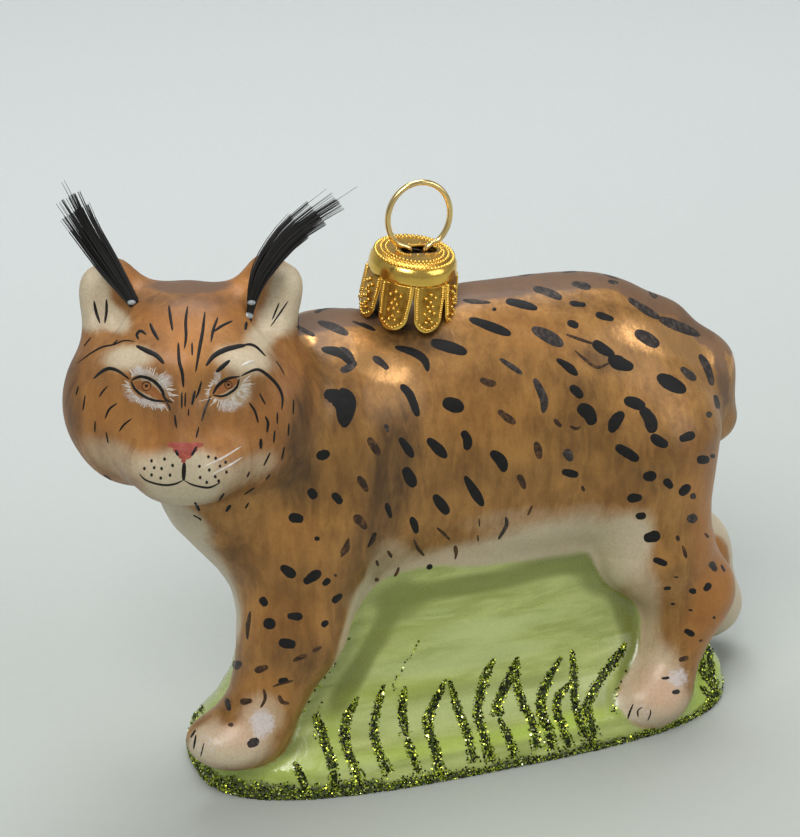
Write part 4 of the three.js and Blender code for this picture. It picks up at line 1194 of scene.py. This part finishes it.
def brush(bm, view, mark, side=NEAR, pointed=0.45, ragged=0.1, bold=1.0, on_grass=None, lift=0.0):
    """One stroke or spot of paint: a low cushion over the skin that thins out to its edge."""
    left, top, zoom = view
    width, *knots = mark
    width *= bold
    line = spline([(left + x / zoom, top + y / zoom) for x, y in knots], LINE_POINTS)
    half = width / zoom / 2
    length = np.linalg.norm(np.diff(line, axis=0), axis=1).sum()
    steps = int(np.clip(length / STEP_PIXELS, FEWEST_STEPS, MOST_STEPS)) + 2
    rows = 4 if half > WIDE_HALF else 2
    wobble = [rng.uniform(1 - ragged, 1 + ragged) for _ in range(4)]
    made = bmesh.ops.create_grid(bm, x_segments=steps, y_segments=rows, size=1)["verts"]
    lost = []
    for vert in made:
        share, over = (vert.co.x + 1) / 2, vert.co.y
        reach = length + 2 * half * END_REACH
        along = (share * reach - half * END_REACH) / max(length, 1e-3)
        place = np.clip(along, 0, 1) * (LINE_POINTS - 1)
        first, step, run = step_of(line, place)
        middle = line[first] + step * (place - first)
        middle = middle + run * (along - np.clip(along, 0, 1)) * length
        swell = max(1 - (2 * share - 1) ** 2, 0) ** pointed
        swell *= np.interp(share, [0, 0.33, 0.66, 1], wobble)
        pixel = middle + np.array([-run[1], run[0]]) * over * half * swell
        hit, normal = on_skin(*pixel, side, on_grass)
        if hit is None:
            lost.append(vert)
            continue
        dome = (1 - over**2) * min(1, swell * 1.5)
        vert.co = hit + normal * (PAINT_HEIGHT * dome - PAINT_SINK + lift * dome)
    faces = list({face for vert in made if vert not in lost for face in vert.link_faces})
    view_from = Vector((EYE * [1, side, 1]).tolist())
    bmesh.ops.delete(bm, geom=lost, context="VERTS")
    faces = [face for face in faces if face.is_valid]
    for face in faces:
        face.normal_update()
    if sum((view_from - face.calc_center_median()).dot(face.normal) for face in faces) < 0:
        bmesh.ops.reverse_faces(bm, faces=faces)


def on_animal(view, mark, side):
    """Whether a mark's middle falls on the animal, and not on the grass or past the edge."""
    left, top, zoom = view
    x, y = mark[1 + len(mark[1:]) // 2]
    hit, _ = on_skin(left + x / zoom, top + y / zoom, side, False)
    return hit is not None


def shifted(mark):
    """The same mark, a little out of place, as the far side's own."""
    dx, dy = rng.uniform(-14, 14), rng.uniform(-10, 10)
    return (mark[0], *((x + dx, y + dy) for x, y in mark[1:]))


def enamel(name, dark, light, rough):
    """Hand-painted enamel, thinner and lighter in places."""
    sheet = Sheet(name)
    thin = sheet.ramp(sheet.noise(0.8, 4, 0.65), 0.4, 0.8)
    grain = sheet.noise(0.18, 2, 0.5)
    return sheet.finish(
        Base_Color=sheet.mix(thin, rgb(dark), rgb(light)),
        Roughness=thin * 0.15 + rough,
        Normal=sheet.bump(grain, 0.03, 0.6),
        Specular_IOR_Level=0.3,
    )


PAINTS = {
    "black": enamel("black enamel", "050505", "1A1512", 0.5),
    "grey": enamel("grey enamel", "262120", "5C5046", 0.55),
    "brown": enamel("brown enamel", "2E1D10", "6B4A2A", 0.55),
    "white": enamel("white enamel", "C2B9AF", "E8E3DD", 0.55),
}
marks = {paint_name: bmesh.new() for paint_name in PAINTS}
for paint_name, view, strokes in BODY_MARKS:
    for mark in strokes:
        if on_animal(view, mark, NEAR):
            bold = SPOT_BOLD if mark[0] > SPOT_PIXELS * view[2] else LINE_BOLD
            brush(marks[paint_name], view, mark, NEAR, ragged=0.16, bold=bold)
        mark = shifted(mark)
        if on_animal(view, mark, FAR):
            brush(marks[paint_name], view, mark, FAR, ragged=0.16, bold=SPOT_BOLD, on_grass=False)
eye_ground, iris, nose = bmesh.new(), bmesh.new(), bmesh.new()
for ground in EYE_GROUND:
    brush(eye_ground, FACE_VIEW, ground, pointed=0.7, ragged=0)
for (x, y), radius, width in IRISES:
    round_line = [(x + radius * math.cos(a), y + radius * math.sin(a)) for a in np.linspace(-0.5, 6.3, 13)]
    brush(iris, FACE_VIEW, (width, *round_line), pointed=0.2, ragged=0, lift=MARK_LIFT)
for part in NOSE:
    brush(nose, FACE_VIEW, part, ragged=0.04)
for paint_name, view, strokes in FACE_MARKS:
    for mark in strokes:
        bold = FACE_BOLD if mark[0] < THIN else 1
        brush(marks[paint_name], view, mark, ragged=0.08, bold=bold, lift=MARK_LIFT)
for middle, row, count, reach in EYE_HAIRS:
    for root in spline(row, count):
        away = (root - middle) / np.linalg.norm(root - middle)
        lean = np.array([rng.gauss(0, 0.25), rng.gauss(0, 0.25)])
        ends = [root, root + (away + lean) * reach * rng.uniform(0.6, 1.2)]
        brush(marks["white"], FACE_VIEW, (rng.uniform(5, 9), *ends), ragged=0.1)
for paint_name, bm in marks.items():
    finished(f"painted_marks_{paint_name}", bm, PAINTS[paint_name])
finished("eye_ground", eye_ground, enamel("amber eye", "8C5830", "AC7442", 0.35))
finished("eye_iris", iris, enamel("brown iris", "2E160A", "55301A", 0.35))
finished("nose_leather", nose, enamel("brick nose", "92443A", "B4604E", 0.5))

# Glitter glue: blades of grass drawn on the foot, dots by the legs and the foot's rim
BLADES = [
    (7, (294, 762), (302, 778), (306, 794)),
    (8, (314, 714), (320, 727), (325, 744), (333, 767), (334, 793)),
    (8, (358, 696), (346, 721), (345, 742), (353, 763), (360, 782)),
    (7, (384, 684), (377, 708), (374, 732), (380, 755), (390, 774)), (7, (405, 686), (402, 710), (406, 736)),
    (7, (407, 738), (412, 754), (419, 774)), (8, (446, 679), (430, 713), (428, 727), (436, 753), (440, 778)),
    (7, (449, 679), (458, 710), (468, 736), (474, 763)),
    (8, (494, 659), (485, 679), (478, 712), (486, 743), (493, 762)),
    (8, (518, 657), (509, 680), (498, 702), (497, 716)),
    (7, (518, 657), (517, 684), (523, 705), (532, 721), (537, 750)),
    (7, (499, 718), (510, 741), (515, 757)),
    (8, (561, 657), (548, 680), (541, 698), (542, 714), (549, 730), (552, 750)),
    (7, (572, 650), (574, 679), (575, 702), (580, 721), (587, 739)),
    (7, (572, 682), (559, 696), (557, 711), (564, 730), (569, 748)),
    (8, (625, 643), (619, 655), (605, 673), (591, 695), (587, 709), (591, 723), (596, 743)),
    (7, (709, 632), (701, 655), (703, 671), (714, 687), (717, 702)), (6, (710, 636), (710, 661), (717, 693)),
    (6, (700, 686), (710, 698), (708, 712)), (6, (205, 690), (200, 700), (199, 712)),
    (6, (196, 712), (194, 730), (193, 748)),
]
DOTTED = [
    (4, (349, 638), (340, 647), (329, 670), (310, 696), (297, 722), (285, 738), (272, 750)),
    (4, (646, 637), (640, 655), (623, 680), (615, 696), (614, 714)),
    (3, (322, 700), (318, 720), (314, 740)), (3, (420, 640), (402, 668), (392, 690)),
]
FLAKE_RADIUS, FLAKE_DEPTH, FLAKE_LIFT, FLAKE_TILT = 0.15, 0.05, 0.07, 0.45
FLAKES_PER_MM2 = 16
FLAKE_POINTS = 8
BLADE_BOLD, BLADE_FLAKES, DOT_FLAKES, BLADE_POINTS = 1.3, 1.5, 0.45, 60
RIM_SPREAD, RIM_FOOT = 1.2, 0.12  # how far flakes stray over the glue, and how low they lie


def flakes(name, seats, material):
    """Tiny plates lying at random tilts on their seats, each with a number to colour it by."""
    one = bmesh.new()
    bmesh.ops.create_cone(
        one, cap_ends=True, segments=4, radius1=FLAKE_RADIUS, radius2=FLAKE_RADIUS, depth=FLAKE_DEPTH
    )
    plate = bpy.data.meshes.new("plate")
    one.to_mesh(plate)
    one.free()
    corners = np.array([vert.co for vert in plate.vertices])
    bm = bmesh.new()
    for place, normal in seats:
        lean = Vector([rng.gauss(0, FLAKE_TILT) for _ in range(3)])
        turn = (normal + lean).to_track_quat("Z", "Y").to_matrix()
        spin = Matrix.Rotation(rng.uniform(0, math.pi), 3, "Z") * rng.uniform(0.6, 1.25)
        moved = corners @ np.array(turn @ spin).T + np.array(place + normal * FLAKE_LIFT)
        plate.vertices.foreach_set("co", moved.ravel())
        bm.from_mesh(plate)
    bpy.data.meshes.remove(plate)
    piece = finished(name, bm, material)
    piece.data.shade_flat()
    give(piece, "glint", np.repeat([rng.random() for _ in seats], FLAKE_POINTS))
    return piece


def along_blade(mark, side, density):
    """Random seats within a drawn blade, and where it meets the grass only."""
    width, *knots = mark
    width *= BLADE_BOLD
    line = spline(knots, BLADE_POINTS)
    steps = np.linalg.norm(np.diff(line, axis=0), axis=1)
    area = steps.sum() * width / PIXELS_PER_MM**2
    seats = []
    for _ in range(int(area * density)):
        share = rng.random()
        first, _, run = step_of(line, share * (BLADE_POINTS - 1))
        tip, foot = 1 - min(1, share * 4), max(0, share * 4 - 3)
        half = width / 2 * (1 - 0.75 * tip**1.5) * (1 + 0.5 * foot)
        pixel = line[first] + np.array([-run[1], run[0]]) * half * rng.uniform(-1.05, 1.05)
        place, normal = on_skin(*(pixel + run * rng.uniform(0, 2)), side, True)
        if place is not None:
            seats.append((place, normal))
    return seats


def on_rim(density):
    """Random seats over the foot's edge, thinning out above the glue."""
    centres = points[quads].mean(axis=1)
    low = in_grass & (centres[:, 2] < rim_height(centres) + RIM_SPREAD)
    chosen, seats = quads[low], []
    corners = points[chosen]
    diagonals = corners[:, 2] - corners[:, 0], corners[:, 3] - corners[:, 1]
    areas = np.linalg.norm(np.cross(*diagonals), axis=1) / 2
    draws = random.Random(11)
    for index in draws.choices(range(len(chosen)), weights=areas, k=int(areas.sum() * density)):
        u, v = draws.random(), draws.random()
        a, b, c, d = corners[index]
        place = a * (1 - u) * (1 - v) + b * u * (1 - v) + c * u * v + d * (1 - u) * v
        normal = normals[chosen[index]].mean(axis=0)
        over = place[2] - rim_height(place[None])[0]
        if place[2] > RIM_FOOT and draws.random() < float(smooth(0.9, -0.1, over)) ** 1.5:
            seats.append((Vector(place), Vector(normal / np.linalg.norm(normal))))
    return seats


def glitter_paint():
    sheet = Sheet("green glitter")
    glint = sheet.attribute("glint")
    low = sheet.mix(sheet.ramp(glint, 0.25, 0.55), rgb("0A0F05"), rgb("5E7618"))
    hue = sheet.mix(sheet.ramp(glint, 0.5, 0.8), low, rgb("D2DE50"))
    hue = sheet.mix(sheet.ramp(glint, 0.9, 1.0), hue, rgb("F6F6BE"))
    return sheet.finish(Base_Color=hue, Metallic=0.85, Roughness=sheet.ramp(glint, 0, 1, 0.42, 0.2))


glue_paint = enamel("dark green glue", "141C06", "4E5E1A", 0.35)
glue = bmesh.new()
near_seats, far_seats = [], []
for side, seats in ((NEAR, near_seats), (FAR, far_seats)):
    for mark in BLADES:
        brush(glue, PHOTO_VIEW, mark, side, pointed=0.3, ragged=0.2, bold=BLADE_BOLD, on_grass=True)
        seats += along_blade(mark, side, FLAKES_PER_MM2 * BLADE_FLAKES)
    for mark in DOTTED:
        seats += along_blade(mark, side, FLAKES_PER_MM2 * DOT_FLAKES)
finished("blade_glue", glue, glue_paint)
glitter = glitter_paint()
flakes("blade_glitter_near", near_seats, glitter)
flakes("blade_glitter_far", far_seats, glitter)
flakes("rim_glitter", on_rim(FLAKES_PER_MM2), glitter)


# Stage: floor sweeping up into the backdrop, soft light and the photograph's camera
floor_sheet = Sheet("pale floor")
floor_depth = floor_sheet.node("SeparateXYZ", 1, {0: floor_sheet.node("TexCoord", "Object", {})})
floor_grain = floor_sheet.noise(1.5, 3, 0.6)
# Painted light fall-off: the floor darkens toward the front and lightens toward the backdrop
floor_light_falloff = floor_sheet.ramp(floor_depth, -0.25, 0.3)
floor_tone = floor_sheet.mix(floor_light_falloff, rgb("9DA298"), rgb("CCD1D1"))
floor_tone = floor_sheet.mix(floor_grain * 0.12, floor_tone, rgb("8C9088"))
floor_paint = floor_sheet.finish(
    Base_Color=floor_tone, Roughness=0.7, Normal=floor_sheet.bump(floor_grain, 0.1, 0.3)
)
FLOOR_FRONT, FLOOR_HALF, SWEEP_FROM, SWEEP_RADIUS, WALL_TOP = -1.2, 1.4, 0.45, 0.3, 1.3
SWEEP_STEPS, ROOM_LIGHT = 16, 0.42
rows = [(FLOOR_FRONT, 0), (SWEEP_FROM, 0)]
for i in range(1, SWEEP_STEPS + 1):
    turn = math.radians(90) * i / SWEEP_STEPS
    rows.append((SWEEP_FROM + SWEEP_RADIUS * math.sin(turn), SWEEP_RADIUS * (1 - math.cos(turn))))
rows.append((SWEEP_FROM + SWEEP_RADIUS, WALL_TOP))
floor_points = [(x, y, z) for y, z in rows for x in (-FLOOR_HALF, FLOOR_HALF)]
floor_faces = [(2 * i, 2 * i + 1, 2 * i + 3, 2 * i + 2) for i in range(len(rows) - 1)]
floor_mesh = bpy.data.meshes.new("pale_floor")
floor_mesh.from_pydata(floor_points, [], floor_faces)
floor_mesh.materials.append(floor_paint)
floor_mesh.shade_smooth()
link(bpy.data.objects.new("pale_floor", floor_mesh))


def lamp(name, place, aim, size, power, tint):
    """Soft square light at a place, turned to face a point."""
    light = bpy.data.lights.new(name, "AREA")
    light.size, light.energy, light.color = size, power, tint
    obj = link(bpy.data.objects.new(name, light))
    obj.location = place
    obj.rotation_euler = (Vector(aim) - Vector(place)).to_track_quat("-Z", "Y").to_euler()


MIDDLE = (-0.005, 0, 0.045)
lamp("key_light", (-0.35, -0.45, 0.65), MIDDLE, 0.35, 4, (1, 0.98, 0.95))
lamp("fill_light", (0.6, -0.5, 0.4), MIDDLE, 0.5, 1.8, (0.97, 0.98, 1))
lamp("top_light", (0.1, 0.2, 0.8), MIDDLE, 0.5, 4, (1, 1, 1))
world = bpy.data.worlds.new("soft_room")
world.use_nodes = True
room = world.node_tree.nodes["Background"]
room.inputs["Color"].default_value = (*rgb("E0E4E6"), 1)
room.inputs["Strength"].default_value = ROOM_LIGHT
bpy.context.scene.world = world

camera_data = bpy.data.cameras.new("photo_camera")
camera_data.sensor_width = SENSOR
camera_data.lens = FOCAL_PIXELS * SENSOR / max(PHOTO)
camera = link(bpy.data.objects.new("photo_camera", camera_data))
pose = np.eye(4)
pose[:3, 0], pose[:3, 1], pose[:3, 2], pose[:3, 3] = RIGHT, UP, BACK, EYE * MM
camera.matrix_world = Matrix(pose.tolist())
bpy.context.scene.camera = camera
bpy.context.scene.view_settings.view_transform = "Standard"
